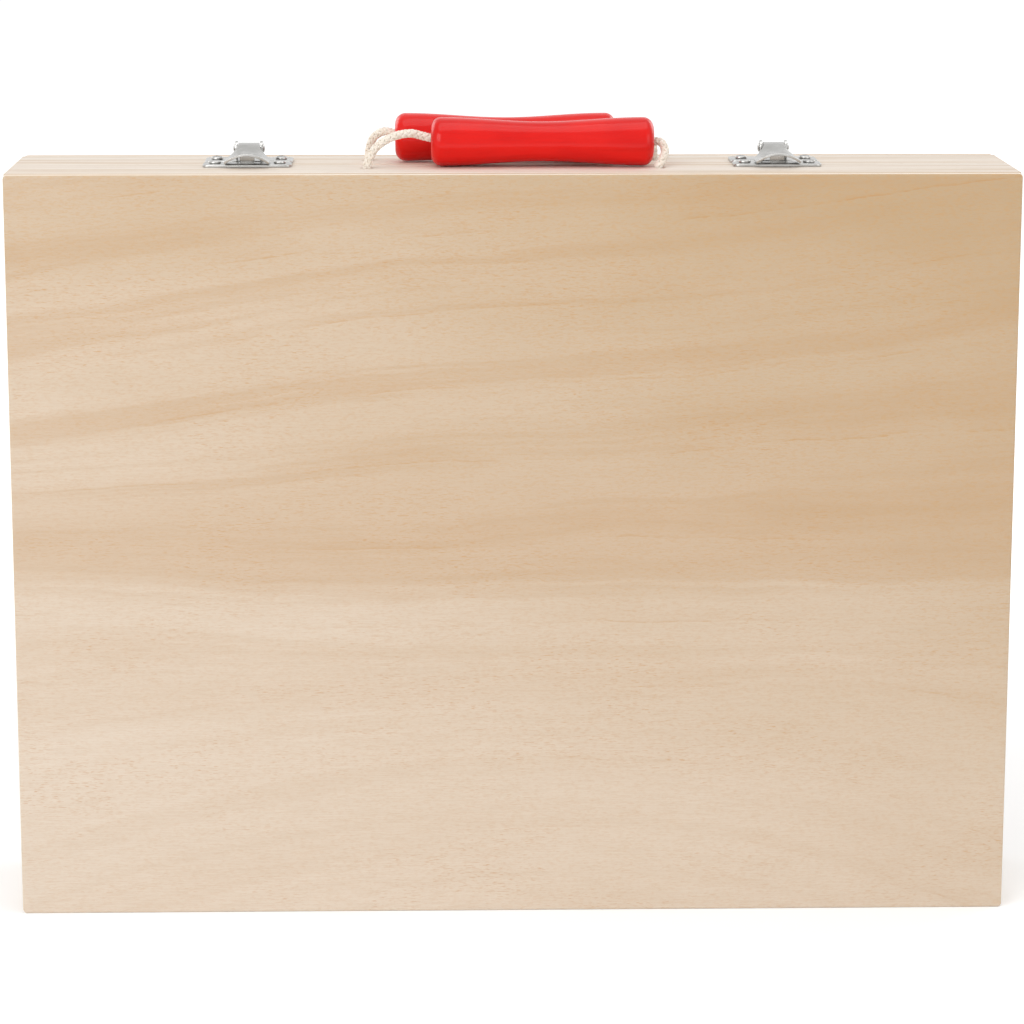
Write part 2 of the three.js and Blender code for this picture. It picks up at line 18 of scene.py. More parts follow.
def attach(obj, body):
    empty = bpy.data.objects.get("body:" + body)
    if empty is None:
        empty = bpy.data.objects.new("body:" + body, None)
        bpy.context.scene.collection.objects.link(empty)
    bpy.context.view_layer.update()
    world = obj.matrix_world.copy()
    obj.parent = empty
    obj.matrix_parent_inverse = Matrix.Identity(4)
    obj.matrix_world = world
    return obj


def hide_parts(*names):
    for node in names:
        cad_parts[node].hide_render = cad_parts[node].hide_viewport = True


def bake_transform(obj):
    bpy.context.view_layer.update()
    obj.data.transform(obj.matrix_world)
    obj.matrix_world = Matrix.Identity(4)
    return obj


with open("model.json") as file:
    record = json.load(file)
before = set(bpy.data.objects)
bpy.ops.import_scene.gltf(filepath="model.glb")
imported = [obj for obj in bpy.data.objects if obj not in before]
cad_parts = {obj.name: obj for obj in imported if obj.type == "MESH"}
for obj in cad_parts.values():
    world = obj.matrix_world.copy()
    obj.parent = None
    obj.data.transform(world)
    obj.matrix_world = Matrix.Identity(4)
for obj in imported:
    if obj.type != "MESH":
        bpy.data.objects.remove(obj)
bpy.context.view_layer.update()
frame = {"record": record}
MM = 0.001


def placed(name, data):
    """A new object in the scene that shows the given mesh, curve, lamp or camera."""
    made = bpy.data.objects.new(name, data)
    bpy.context.collection.objects.link(made)
    return made


BODY_OF = {
    node: body
    for body, nodes in frame["record"]["behaviour"]["bodies"].items()
    for node in nodes
}

# %% [markdown]
# ## The camera
# The picture was taken with a long lens, a little above the case and a little to its left.
# A camera could be placed by eye, but the corners of the front face fix it better:
# this place, turn and lens put all four within five pixels of where the picture has them.

# %% Place the camera
CAMERA_AT = Vector((-29.1, -1195.2, 379.7)) * MM
YAW, PITCH, ROLL = 1.398, 11.586, 0.05
FOCAL_PIXELS, PICTURE_PIXELS, SENSOR_WIDTH = 3500, 1024, 36

camera = placed("camera", bpy.data.cameras.new("camera"))
camera.data.sensor_width = SENSOR_WIDTH
camera.data.lens = FOCAL_PIXELS * SENSOR_WIDTH / PICTURE_PIXELS
camera.location = CAMERA_AT
camera.rotation_euler = (
    Matrix.Rotation(math.radians(-YAW), 3, "Z")
    @ Matrix.Rotation(math.radians(90 - PITCH), 3, "X")
    @ Matrix.Rotation(math.radians(ROLL), 3, "Z")
).to_euler()
bpy.context.scene.camera = camera
print("lens", round(camera.data.lens, 1), "mm")

# %% [markdown]
# ## Sizes of the case
# The solids were made with these, so that the finer pieces fill the same space.
# Heights are above the surface that the case stands on, and the halves meet at y = 0.

# %% Sizes in millimetres
CASE_WIDTH, CASE_HEIGHT, CASE_DEPTH = 340, 256, 65
HALF_WIDTH = CASE_WIDTH / 2
PANEL, PANEL_CORNER, RAIL, SEAM, SEAT, RUNNING = 4, 1.5, 8, 0.4, 0.1, 0.3
RAIL_BACK = CASE_DEPTH / 2 - PANEL - SEAT
GRIP_LENGTH, GRIP_END_RADIUS, GRIP_WAIST_RADIUS = 75.6, 8.2, 6.7
GRIP_HEIGHT = CASE_HEIGHT + GRIP_END_RADIUS + RUNNING
GRIP_FROM_SEAM = GRIP_END_RADIUS + RUNNING / 2
GRIP_SLID = {"front": 10, "back": -2.2}
ROPE, ROPE_HOLE, ROPE_HOLE_FROM_SEAM, ROPE_HOLE_FROM_GRIP = 3.1, 4.2, 13, 11.45
ROPE_HOLE_FROM_MIDDLE = GRIP_LENGTH / 2 + ROPE_HOLE_FROM_GRIP
SIDE = {"front": -1, "back": 1}
END = {"left": -1, "right": 1}
print("grips", GRIP_HEIGHT, "mm up, rope holes", 2 * ROPE_HOLE_FROM_MIDDLE, "mm apart")

# %% [markdown]
# ## The ropes' way
# A rope is knotted under the top rail, comes up through a hole, runs through its grip and goes
# down through the second hole to another knot.
# It could be drawn as a Bezier curve and pulled about, but then it would leave its solid.
# The solid's own points, joined by the same curve, keep it exactly there. A centripetal
# Catmull-Rom curve passes through all its points and makes no loops at close ones.

# %% The points that the ropes pass
ROPE_STARTS = (0.7, 0.5, 0)
ROPE_ROUTES = {
    ("front", "left"): {
        "hole": [(0, 0, 1.4), (-3.0, 0.6, 6.9), (-8.8, 1.9, 10.4), (-14.8, 3.4, 11.4)],
        "grip": [(3.4, 0, 2.1), (0, 0, 1.3)],
    },
    ("front", "right"): {
        "hole": [(0, 0, 0.6), (1.2, 0.7, 2.4), (2.3, 2.6, 5.4)],
        "grip": [(2.5, -0.3, -0.3), (0, 0, 0)],
    },
    ("back", "left"): {
        "hole": [(0, 0, 1.2), (-0.4, 0.4, 4.2), (-1.9, 1.9, 8.1)],
        "grip": [(3.6, -0.8, 1.9), (0, 0, 1.3)],
    },
    ("back", "right"): {
        "hole": [(0, 0, 1.2), (-0.6, 0.5, 5.6), (-4.2, 2.2, 9.6)],
        "grip": [(4.4, -0.4, 1.6), (0, 0, 0.6)],
    },
}


def hole_at(half, end, height=CASE_HEIGHT):
    return Vector((END[end] * ROPE_HOLE_FROM_MIDDLE, SIDE[half] * ROPE_HOLE_FROM_SEAM, height))


def grip_at(half):
    return Vector((GRIP_SLID[half], SIDE[half] * GRIP_FROM_SEAM, GRIP_HEIGHT))


def rope_end(half, end):
    """The points from inside a hole to the grip's end; each step is outward, inward and up."""
    hole = hole_at(half, end)
    face = grip_at(half) + Vector((END[end] * GRIP_LENGTH / 2, 0, 0))

    def step(place, move):
        out, into, up = move
        return place + Vector((END[end] * out, -SIDE[half] * into, up))

    route = ROPE_ROUTES[half, end]
    inside = [step(hole, (0, 0, -depth * RAIL)) for depth in ROPE_STARTS]
    return inside + [step(hole, m) for m in route["hole"]] + [step(face, m) for m in route["grip"]]


def rope_points(half):
    return rope_end(half, "left") + [grip_at(half)] + rope_end(half, "right")[::-1]


print([tuple(round(v, 1) for v in point) for point in rope_points("front")[:4]])

# %% An even curve through the points
CURVE_STEPS, ROPE_STEP = 24, 0.28


def through(points, spacing):
    """A centripetal Catmull-Rom curve through the points, as points an even spacing apart."""
    ends = [2 * points[0] - points[1], *points, 2 * points[-1] - points[-2]]
    dense = []
    for four in zip(ends, ends[1:], ends[2:], ends[3:]):
        knots = [0]
        for near, far in zip(four, four[1:]):
            knots.append(knots[-1] + math.sqrt((far - near).length))
        for i in range(CURVE_STEPS):
            t = knots[1] + (knots[2] - knots[1]) * i / CURVE_STEPS
            level = four
            for spans in ([(0, 1), (1, 2), (2, 3)], [(0, 2), (1, 3)], [(1, 2)]):
                level = [
                    a.lerp(b, (t - knots[low]) / (knots[high] - knots[low]))
                    for a, b, (low, high) in zip(level, level[1:], spans)
                ]
            dense.append(level[0])
    return evenly([*dense, points[-1]], spacing)


def length_of(line):
    return sum((b - a).length for a, b in zip(line, line[1:]))


def evenly(points, spacing):
    total = length_of(points)
    count = max(2, round(total / spacing))
    gap, walked, out = total / count, 0.0, [points[0]]
    for a, b in zip(points, points[1:]):
        length = (b - a).length
        while len(out) < count and walked + length >= gap * len(out):
            out.append(a.lerp(b, (gap * len(out) - walked) / length))
        walked += length
    return [*out, points[-1]]


ROPE_LINES = {half: through(rope_points(half), ROPE_STEP) for half in SIDE}
for half, line in ROPE_LINES.items():
    print(half, "rope", round(length_of(line), 1), "mm")

# %% [markdown]
# ## Shader sums as Python
# A finish is a graph of nodes, and its sums are easier to read as sums.
# A Wire holds one socket, and adding, taking away or multiplying Wires adds the Math nodes.
# Every other node comes from node(): its settings first, then what its sockets get.

# %% Wires and nodes
class Wire:
    """What comes out of one socket."""

    def __init__(self, nodes, socket):
        self.nodes, self.socket = nodes, socket

    def math(self, operation, other=0.0):
        return self.nodes.node("ShaderNodeMath", {"operation": operation}, {0: self, 1: other})

    def __add__(self, other):
        return self.math("ADD", other)

    def __sub__(self, other):
        return self.math("SUBTRACT", other)

    def __mul__(self, other):
        return self.math("MULTIPLY", other)

    def __rsub__(self, other):
        return self * -1 + other


class Nodes:
    """The nodes of a finish or of the sky."""

    def __init__(self, tree):
        self.tree = tree

    def feed(self, socket, value):
        if isinstance(value, Wire):
            self.tree.links.new(value.socket, socket)
        else:
            socket.default_value = value

    def node(self, kind, settings=None, sockets=None, output=0):
        made = self.tree.nodes.new(kind)
        for name, value in (settings or {}).items():
            setattr(made, name, value)
        for name, value in (sockets or {}).items():
            self.feed(made.inputs[name], value)
        return Wire(self, made.outputs[output])

    def point(self, *parts):
        return self.node("ShaderNodeCombineXYZ", {}, dict(enumerate(parts)))

    def distance(self, *parts):
        """How far a point is from the middle of the axes."""
        sockets = {0: self.point(*parts)}
        return self.node("ShaderNodeVectorMath", {"operation": "LENGTH"}, sockets, output="Value")

    def between(self, value, low, high, out_low=0.0, out_high=1.0):
        """out_low at low, out_high at high, and a smooth step in between; low may be the larger."""
        span = {"Value": value, "From Min": low, "From Max": high, "To Min": out_low, "To Max": out_high}
        return self.node("ShaderNodeMapRange", {"interpolation_type": "SMOOTHSTEP"}, span)

    def seen_directly(self):
        """1 where the camera or a mirror looks straight at this, 0 for the light that it throws."""
        rays = ("Is Camera Ray", "Is Glossy Ray", "Is Transmission Ray")
        camera, mirror, glass = [self.node("ShaderNodeLightPath", output=name) for name in rays]
        return camera.math("MAXIMUM", mirror).math("MAXIMUM", glass)


print("Wires can be added, taken away and multiplied")

# %% Finishes
class Finish(Nodes):
    """A material and the nodes that make its pattern, measured in millimetres on the object."""

    def __init__(self, name):
        self.material = bpy.data.materials.new(name)
        self.material.use_nodes = True
        super().__init__(self.material.node_tree)
        self.shader = self.tree.nodes["Principled BSDF"]
        place = self.node("ShaderNodeTexCoord", output="Object")
        self.here = self.node("ShaderNodeVectorMath", {"operation": "SCALE"}, {0: place, "Scale": 1 / MM})

    def axes(self):
        return [self.node("ShaderNodeSeparateXYZ", {}, {0: self.here}, output=axis) for axis in "XYZ"]

    def clouds(self, blob, detail=2, roughness=0.5, where=None, shift=(0, 0, 0)):
        """Noise from 0 to 1 whose blobs are about blob millimetres long in X, Y and Z."""
        scale = [1 / size for size in blob]
        settings = {"Vector": where or self.here, "Scale": scale, "Location": shift}
        stretched = self.node("ShaderNodeMapping", {}, settings)
        sockets = {"Vector": stretched, "Scale": 1, "Detail": detail, "Roughness": roughness}
        return self.node("ShaderNodeTexNoise", {}, sockets)

    def mix(self, share, first, second):
        """A colour that goes from first to second as share goes from 0 to 1."""
        ends = [c if isinstance(c, Wire) else (*c, 1) for c in (first, second)]
        sockets = {0: share, 6: ends[0], 7: ends[1]}
        return self.node("ShaderNodeMix", {"data_type": "RGBA"}, sockets, output=2)

    def surface(self, tone, roughness, height=None, depth=0.0, **others):
        """The finished material. Where height is 1 its bumps stand depth millimetres high.
        Underscores in the names of other sockets stand for spaces."""
        sockets = {"Base Color": tone, "Roughness": roughness, **others}
        if height:
            sockets["Normal"] = self.node("ShaderNodeBump", {}, {"Height": height, "Distance": depth * MM})
        for name, value in sockets.items():
            self.feed(self.shader.inputs[name.replace("_", " ")], value)
        return self.material


def rgb(red, green, blue):
    """The colour of a paint chip (0 to 255) as light, which is what a shader sums."""
    parts = [v / 255 for v in (red, green, blue)]
    return tuple(v / 12.92 if v < 0.04045 else ((v + 0.055) / 1.055) ** 2.4 for v in parts)


print("warm beige as light:", [round(v, 3) for v in rgb(217, 191, 163)])

# %% [markdown]
# ## Plywood
# The panels are thin plywood. Its face is one veneer peeled off a turning log, so the year rings
# show as long, lazy, almost level lines, with short dark dashes where the knife crossed pores.
# A wood texture node draws straight bands, and a picture of wood would repeat. Here each growth line
# is where a slowly warped height passes a whole number: sharp below, fading above, and broken up.
# The warp gives nested arches low down and rising streaks on top. One year's late wood is a darker
# band above a level line halfway up, and the back panel shows another part of such a sheet.
# The tone goes from a pale pinkish beige at the lower left to a warmer tan at the upper right;
# this is partly the veneer's own tone and partly painted light, brighter at the lower left.

# %% Plywood face
def plywood_face():
    f = Finish("plywood face")
    x, y, z = f.axes()
    sway = f.clouds((210, 40, 64), roughness=0.4, shift=(2, 0, 5)) - 0.5
    ripple = f.clouds((24, 20, 10)) - 0.5
    arch = x * x * f.between(z, 105, 0, 0, 0.0011)
    rise = x * f.between(z, 110, 200, 0, 0.11)
    other_panel = f.between(y, -5, 5, 0, -52)
    height = z + arch - rise + other_panel + sway * 26 + ripple * 3.4
    ring = (height * (1 / 26)).math("FRACT")
    season = f.between(height, 118, 120) * f.between(height, 176, 124)
    line = f.between(ring, 0.045, 0.0)
    late = f.between(ring, 0.5, 0.0)
    broken = f.between(f.clouds((46, 12, 9), detail=3), 0.42, 0.62)
    dotted = f.between(f.clouds((3.4, 2, 0.6), shift=(2, 2, 2)), 0.36, 0.62)
    mottle = f.clouds((140, 30, 36), detail=3, shift=(3, 9, 4))
    # Partly the veneer's own tone and partly painted light: paler at the lower left, darker at the upper
    # right.
    wood_and_light_drift = f.between(x * 0.43 + z + (mottle - 0.5) * 148, -93, 463)
    bent = f.point(x, y, height)
    band = f.clouds((300, 60, 7), detail=4, roughness=0.62, where=bent, shift=(1, 4, 6))
    fibre = f.clouds((11, 3, 0.42), detail=4, roughness=0.62)
    fleck = f.clouds((1.8, 1.5, 0.5), detail=3, roughness=0.65, shift=(4, 4, 9))
    dash = f.between(f.clouds((2.6, 2, 0.28), detail=1), 0.6, 0.71)
    cluster = f.between(f.clouds((44, 20, 15), shift=(7, 3, 1)), 0.4, 0.66)
    tone = f.mix(wood_and_light_drift, rgb(232, 217, 200), rgb(188, 157, 115))
    tone = f.mix(season * 0.34, tone, rgb(196, 160, 120))
    streaks = f.between(band, 0.44, 0.66) * f.between(height, 60, 150, 0.08, 0.34)
    tone = f.mix(streaks, tone, rgb(196, 160, 120))
    tone = f.mix(f.between(fleck, 0.46, 0.66) * (wood_and_light_drift * 0.28 + 0.13), tone, rgb(207, 158, 102))
    tone = f.mix(late * broken * wood_and_light_drift * 0.2, tone, rgb(198, 156, 110))
    tone = f.mix(line * broken * dotted * (wood_and_light_drift * 0.8 + 0.05), tone, rgb(200, 150, 92))
    tone = f.mix(dash * (cluster * 0.4 + 0.12), tone, rgb(203, 148, 88))
    tone = f.mix(f.between(fibre, 0.3, 0.75) * 0.2, tone, rgb(200, 167, 132))
    roughness = f.between(fibre, 0.2, 0.8) * 0.12 + 0.5
    return f.surface(tone, roughness, fibre * 0.7 - dash * 0.5, 0.03, Specular_IOR_Level=0.3)


PLYWOOD = plywood_face()
print(PLYWOOD.name, len(PLYWOOD.node_tree.nodes), "nodes")

# %% [markdown]
# ## Plywood edges and solid rails
# A panel's edge shows its plies: two thin pale face veneers and a core that runs the other way,
# so its cut ends are darker and rougher. The pale plies are also painted paler than the wood, as a
# painted highlight along the rounded edge. The stripes are measured from the panel's own face.
# The rails are strips of solid wood. Their grain runs along them and their ends show pores and rings.
# Their pale tone is partly their own wood and partly painted light for the case's top, lit from above.

# %% Plywood edge
PLY, BLUR = 1.1, 0.12


def plywood_edge():
    f = Finish("plywood edge")
    y = f.axes()[1]
    depth = CASE_DEPTH / 2 - y.math("ABSOLUTE")
    wander = (f.clouds((30, 30, 30), detail=1) - 0.5) * 0.25
    core = f.between(depth + wander, PLY - BLUR, PLY + BLUR)
    core = core * f.between(depth + wander, PANEL - PLY + BLUR, PANEL - PLY - BLUR)
    pores = f.clouds((0.5, 0.35, 0.5), detail=3, roughness=0.7)
    fibre = f.clouds((9, 0.4, 9), detail=3)
    # The outer plies' colour is partly their own pale wood and partly a painted highlight on the rounded
    # edge.
    pale_ply_and_highlight = f.mix(fibre, rgb(250, 242, 230), rgb(236, 221, 202))
    dark = f.mix(pores, rgb(212, 183, 149), rgb(182, 146, 108))
    tone = f.mix(core, pale_ply_and_highlight, dark)
    return f.surface(tone, core * 0.14 + 0.6, pores * core + fibre * 0.3, 0.05, Specular_IOR_Level=0.25)


PLY_EDGE = plywood_edge()
print(PLY_EDGE.name, "with outer plies of", PLY, "mm")

# %% Solid rails, along and across the grain
def rail_side(name, along):
    """Wood whose grain runs along axis 0 (X) or 2 (Z)."""
    f = Finish(name)

    def drawn_out(across, length):
        return [length if axis == along else across for axis in range(3)]

    ring = f.clouds(drawn_out(4.5, 240), detail=3)
    fibre = f.clouds(drawn_out(0.5, 16), detail=4, roughness=0.6)
    dash = f.between(f.clouds(drawn_out(0.26, 3), detail=1), 0.66, 0.78)
    # Partly the rail wood's own tone and partly painted light: kept paler than the panels for the top lit
    # from above.
    tone = f.mix(f.between(ring, 0.3, 0.7), rgb(234, 224, 213), rgb(222, 206, 188))
    tone = f.mix(f.between(ring, 0.56, 0.62) * 0.3, tone, rgb(190, 154, 114))
    tone = f.mix(f.between(fibre, 0.4, 0.75) * 0.22, tone, rgb(194, 162, 126))
    tone = f.mix(dash * 0.4, tone, rgb(172, 128, 84))
    return f.surface(tone, fibre * 0.14 + 0.5, fibre - dash * 0.5, 0.04, Specular_IOR_Level=0.35)


def rail_end():
    f = Finish("rail end grain")
    x, y, z = f.axes()
    radius = f.distance(x * 0.02, y + 38, z - 290) + (f.clouds((40, 6, 6)) - 0.5) * 1.4
    ring = (radius * 3.4).math("SINE") * 0.5 + 0.5
    pores = f.clouds((2, 0.22, 0.22), roughness=0.7)
    tone = f.mix(f.between(ring, 0.3, 1.0), rgb(210, 181, 146), rgb(178, 142, 103))
    tone = f.mix(f.between(pores, 0.55, 0.75) * 0.6, tone, rgb(140, 102, 68))
    return f.surface(tone, pores * 0.15 + 0.62, pores, 0.05, Specular_IOR_Level=0.2)


RAIL_LEVEL, RAIL_UPRIGHT, RAIL_END = rail_side("rail along", 0), rail_side("rail upright", 2), rail_end()
print([m.name for m in (RAIL_LEVEL, RAIL_UPRIGHT, RAIL_END)])

# %% [markdown]
# ## Lacquer, metal and cotton
# The grips are turned wood under thick gloss red lacquer: a saturated base under a clear coat, with
# the faint rings of the lathe and a little unevenness where the lacquer pooled.
# The latches are stamped steel under bright nickel, and the hinges are plainer plated steel.
# Metal gets its look from what it mirrors, so its roughness does the work: rolling marks drawn
# out along the sheet, and a few cloudy patches.
# Cotton scatters light softly. The plait is real geometry, so the finish only shades each yarn.

# %% Red lacquer
def lacquer():
    f = Finish("red lacquer")
    pooled = f.clouds((22, 9, 9))
    rings = f.clouds((0.7, 90, 90))
    grain = f.clouds((30, 1.2, 1.2), detail=3)
    peel = f.clouds((1.6, 1.6, 1.6), detail=1)
    specks = f.between(f.clouds((0.5, 0.5, 0.5), detail=1, shift=(5, 1, 8)), 0.72, 0.8)
    tone = f.mix(f.between(pooled, 0.3, 0.7), rgb(228, 22, 14), rgb(215, 15, 10))
    tone = f.mix(f.between(grain, 0.5, 0.8) * 0.25, tone, rgb(190, 8, 6))
    tone = f.mix(specks * 0.2, tone, rgb(236, 80, 70))
    return f.surface(
        tone, pooled * 0.1 + 0.2, peel * 0.6 + rings * 0.25 + grain * 0.3, 0.03,
        Specular_IOR_Level=0.1, Coat_Weight=0.35, Coat_Roughness=0.12, Coat_IOR=1.45,
    )


LACQUER = lacquer()
print(LACQUER.name, len(LACQUER.node_tree.nodes), "nodes")

# %% Nickel and steel
def plated(name, bright, dull, base_roughness, stroke):
    """Sheet metal; stroke gives the length of its rolling marks in X, Y and Z."""
    f = Finish(name)
    marks = f.clouds(stroke, detail=3, roughness=0.65)
    cloudy = f.clouds((6, 6, 6))
    tone = f.mix(f.between(cloudy, 0.35, 0.75), bright, dull)
    tone = f.mix(f.between(marks, 0.55, 0.8) * 0.35, tone, tuple(0.8 * v for v in dull))
    return f.surface(tone, marks * 0.14 + cloudy * 0.1 + base_roughness, marks, 0.008, Metallic=1.0)


NICKEL = plated("bright nickel", (0.52, 0.515, 0.50), (0.40, 0.396, 0.38), 0.16, (9, 0.5, 9))
PIN_STEEL = plated("pin steel", (0.50, 0.495, 0.48), (0.38, 0.376, 0.365), 0.2, (0.5, 4, 4))
HINGE_STEEL = plated("hinge steel", (0.55, 0.55, 0.535), (0.42, 0.42, 0.405), 0.24, (12, 0.4, 0.5))
print([m.name for m in (NICKEL, PIN_STEEL, HINGE_STEEL)])

# %% Cotton
def cotton():
    f = Finish("cotton")
    shade = f.node("ShaderNodeAttribute", {"attribute_name": "yarn"}, output="Fac")
    along = f.node("ShaderNodeAttribute", {"attribute_name": "along"}, output="Fac")
    strand = f.point(along, shade * 40)
    slub = f.clouds((2.4, 1, 1), detail=3, where=strand)
    hairs = f.clouds((0.22, 0.3, 1), detail=3, roughness=0.7, where=strand)
    tone = f.mix(f.between(slub, 0.3, 0.7), rgb(251, 245, 236), rgb(241, 231, 217))
    tone = f.mix(shade * 0.3, tone, rgb(232, 218, 199))
    return f.surface(
        tone, hairs * 0.1 + 0.84, hairs, 0.05,
        Sheen_Weight=0.25, Sheen_Roughness=0.5, Specular_IOR_Level=0.15,
    )


COTTON = cotton()
print(COTTON.name, len(COTTON.node_tree.nodes), "nodes")

# %% [markdown]
# ## From a bmesh to a piece
# Every bmesh is scaled to metres, gets its finish, rides on the body of the solid that it covers and
# stands for that solid. Flat faces stay flat and only rounded ones are shaded smooth, because a
# large flat face that is shaded smooth picks up false gradients from its bevels.

# %% From a bmesh to a piece
SHARP_ANGLE = 35


def as_mesh(name, bm, *finishes):
    """The bmesh as a mesh; the bmesh itself is freed."""
    mesh = bpy.data.meshes.new(name)
    bm.to_mesh(mesh)
    bm.free()
    for finish in finishes:
        mesh.materials.append(finish)
    return mesh


def piece(name, bm, node, slot, *finishes):
    """Makes a bmesh in millimetres the object that stands for a solid and rides with it."""
    bmesh.ops.scale(bm, vec=(MM, MM, MM), verts=bm.verts)
    mesh = as_mesh(name, bm, *finishes)
    mesh.set_sharp_from_angle(angle=math.radians(SHARP_ANGLE))
    made = placed(name, mesh)
    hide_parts(node)
    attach(made, BODY_OF[node])
    return made


print("shading breaks at edges of more than", SHARP_ANGLE, "degrees")

# %% [markdown]
# ## Panels
# A panel is a sheet of plywood with its corners eased and its outer edge sanded round.
# A cube with a Bevel modifier would round every edge alike. Choosing the edges by where they are
# gives the outer edge the wide rounding that catches the light as a thin bright line in the picture.

# %% Blocks with rounded edges
def block(low, high, half="back"):
    """A box between two corners that were measured outward from the seam, on either half."""
    low, high = Vector(low), Vector(high)
    if half == "front":
        low.y, high.y = -high.y, -low.y
    bm = bmesh.new()
    bmesh.ops.create_cube(bm, size=1)
    bmesh.ops.scale(bm, vec=high - low, verts=bm.verts)
    bmesh.ops.translate(bm, vec=(low + high) / 2, verts=bm.verts)
    return bm


def smoothed(faces):
    for face in faces:
        face.smooth = True


def round_over(bm, radius, steps, *tests):
    """Rounds the edges that pass every test on their middle and direction."""
    chosen = []
    for edge in bm.edges:
        a, b = (v.co for v in edge.verts)
        if all(test((a + b) / 2, (b - a).normalized()) for test in tests):
            chosen.append(edge)
    made = bmesh.ops.bevel(
        bm, geom=chosen, offset=radius, affect="EDGES", segments=steps, profile=0.5, material=-1
    )
    smoothed(made["faces"])


def along(axis):
    return lambda middle, way: abs(way[axis]) > 0.99


def at(axis, value, slack=0.01):
    return lambda middle, way: abs(middle[axis] - value) < slack


def paint(bm, index, test):
    for face in bm.faces:
        if test(face):
            face.material_index = index


cube = block((0, 0, 0), (1, 1, 1))
print("a block has", len(cube.edges), "edges to choose from")
cube.free()

# %% Panels
OUTER_EDGE, INNER_EDGE = 0.8, 0.15


def panel(half):
    outer, inner = CASE_DEPTH / 2, CASE_DEPTH / 2 - PANEL
    bm = block((-HALF_WIDTH, inner, 0), (HALF_WIDTH, outer, CASE_HEIGHT), half)
    round_over(bm, PANEL_CORNER, 5, along(1))
    round_over(bm, OUTER_EDGE, 4, at(1, SIDE[half] * outer))
    round_over(bm, INNER_EDGE, 1, at(1, SIDE[half] * inner))
    paint(bm, 1, lambda face: abs(face.normal.y) < 0.8)
    return piece(f"{half}_plywood_panel", bm, f"{half}_panel", "plywood", PLYWOOD, PLY_EDGE)


print([panel(half).name for half in SIDE])

# %% [markdown]
# ## Rails
# Four strips of wood in each half make the sides of the case. The top one is drilled for the rope,
# with a tiny chamfer where the holes are cleaned up. The bottom one is planed to a slope along the
# seam, so that the halves can fold back, and is cut out for the hinges.
# Booleans suit drilling and cutting, as they follow the real tools.

# %% Turned shapes and carving
def carve(bm, *tools):
    """Takes the tools away from a bmesh with Blender's exact boolean."""
    shapes = [placed("carving", as_mesh("carving", shape)) for shape in (bm, *tools)]
    for tool in shapes[1:]:
        modifier = shapes[0].modifiers.new("carve", "BOOLEAN")
        modifier.operation, modifier.solver, modifier.object = "DIFFERENCE", "EXACT", tool
    carved = bmesh.new()
    carved.from_object(shapes[0], bpy.context.evaluated_depsgraph_get())
    for used in shapes:
        bpy.data.meshes.remove(used.data)
    return carved


def turned(profile, steps, centre, axis):
    """A closed turned piece: the profile is (distance from the axis, place along it)."""
    bm = bmesh.new()
    across = Vector((0, 0, 1)) if axis != 2 else Vector((1, 0, 0))
    line = Vector([float(i == axis) for i in range(3)])
    corners = [bm.verts.new(Vector(centre) + across * r + line * a) for r, a in profile]
    edges = [bm.edges.new(pair) for pair in zip(corners, corners[1:])]
    bmesh.ops.spin(
        bm, geom=corners + edges, cent=centre, axis=line, angle=math.tau, steps=steps, use_merge=True
    )
    bmesh.ops.remove_doubles(bm, verts=bm.verts, dist=0.0005)
    bmesh.ops.recalc_face_normals(bm, faces=bm.faces)
    smoothed(bm.faces)
    return bm


drill = turned([(0, 0), (1, 0), (1, 9), (0, 9)], 40, (0, 0, 0), 2)
print("a turned rod has", len(drill.faces), "faces")
drill.free()

# %% Top rails
SEAM_EDGE, GLUED_EDGE, END_EDGE, HOLE_EDGE, OVERRUN = 0.5, 0.2, 0.35, 0.35, 1


def level_strip(name, bm):
    """A rail that lies level, with end grain on its sawn ends."""
    ends = HALF_WIDTH - RAIL
    paint(bm, 1, lambda face: abs(face.normal.x) > 0.9 and abs(face.calc_center_median().x) > ends)
    return piece(f"{name}_strip", bm, f"{name}_rail", "rail_wood", RAIL_LEVEL, RAIL_END)


def top_rail(half):
    low, high = (-HALF_WIDTH, SEAM / 2, CASE_HEIGHT - RAIL), (HALF_WIDTH, RAIL_BACK, CASE_HEIGHT)
    bm = block(low, high, half)
    round_over(bm, SEAM_EDGE, 3, along(0), at(1, SIDE[half] * SEAM / 2), at(2, CASE_HEIGHT))
    round_over(bm, GLUED_EDGE, 2, along(0), lambda middle, way: abs(middle.y) > RAIL_BACK - 1)
    round_over(bm, END_EDGE, 2, lambda middle, way: abs(middle.x) > HALF_WIDTH - 0.01)
    radius, bottom, top = ROPE_HOLE / 2, CASE_HEIGHT - RAIL - OVERRUN, CASE_HEIGHT + OVERRUN
    profile = [(0, bottom), (radius, bottom), (radius, CASE_HEIGHT - HOLE_EDGE)]
    profile += [(radius + HOLE_EDGE + OVERRUN, top), (0, top)]
    drills = [turned(profile, 40, hole_at(half, end, 0), 2) for end in END]
    return level_strip(f"{half}_top", carve(bm, *drills))


for half in SIDE:
    print(top_rail(half).name, "drilled for its rope")

# %% Bottom rails
HINGE_FROM_MIDDLE, HINGE_LENGTH, BARREL_RADIUS, LEAF, LEAF_FROM_EDGE = 105, 26, 1.7, 0.8, 0.8
BARREL_LIFT, OPEN_STOP_DEGREES, BOTTOM_EDGE = 0.15, 111.5, 0.3
HINGE_AXIS = BARREL_RADIUS + BARREL_LIFT


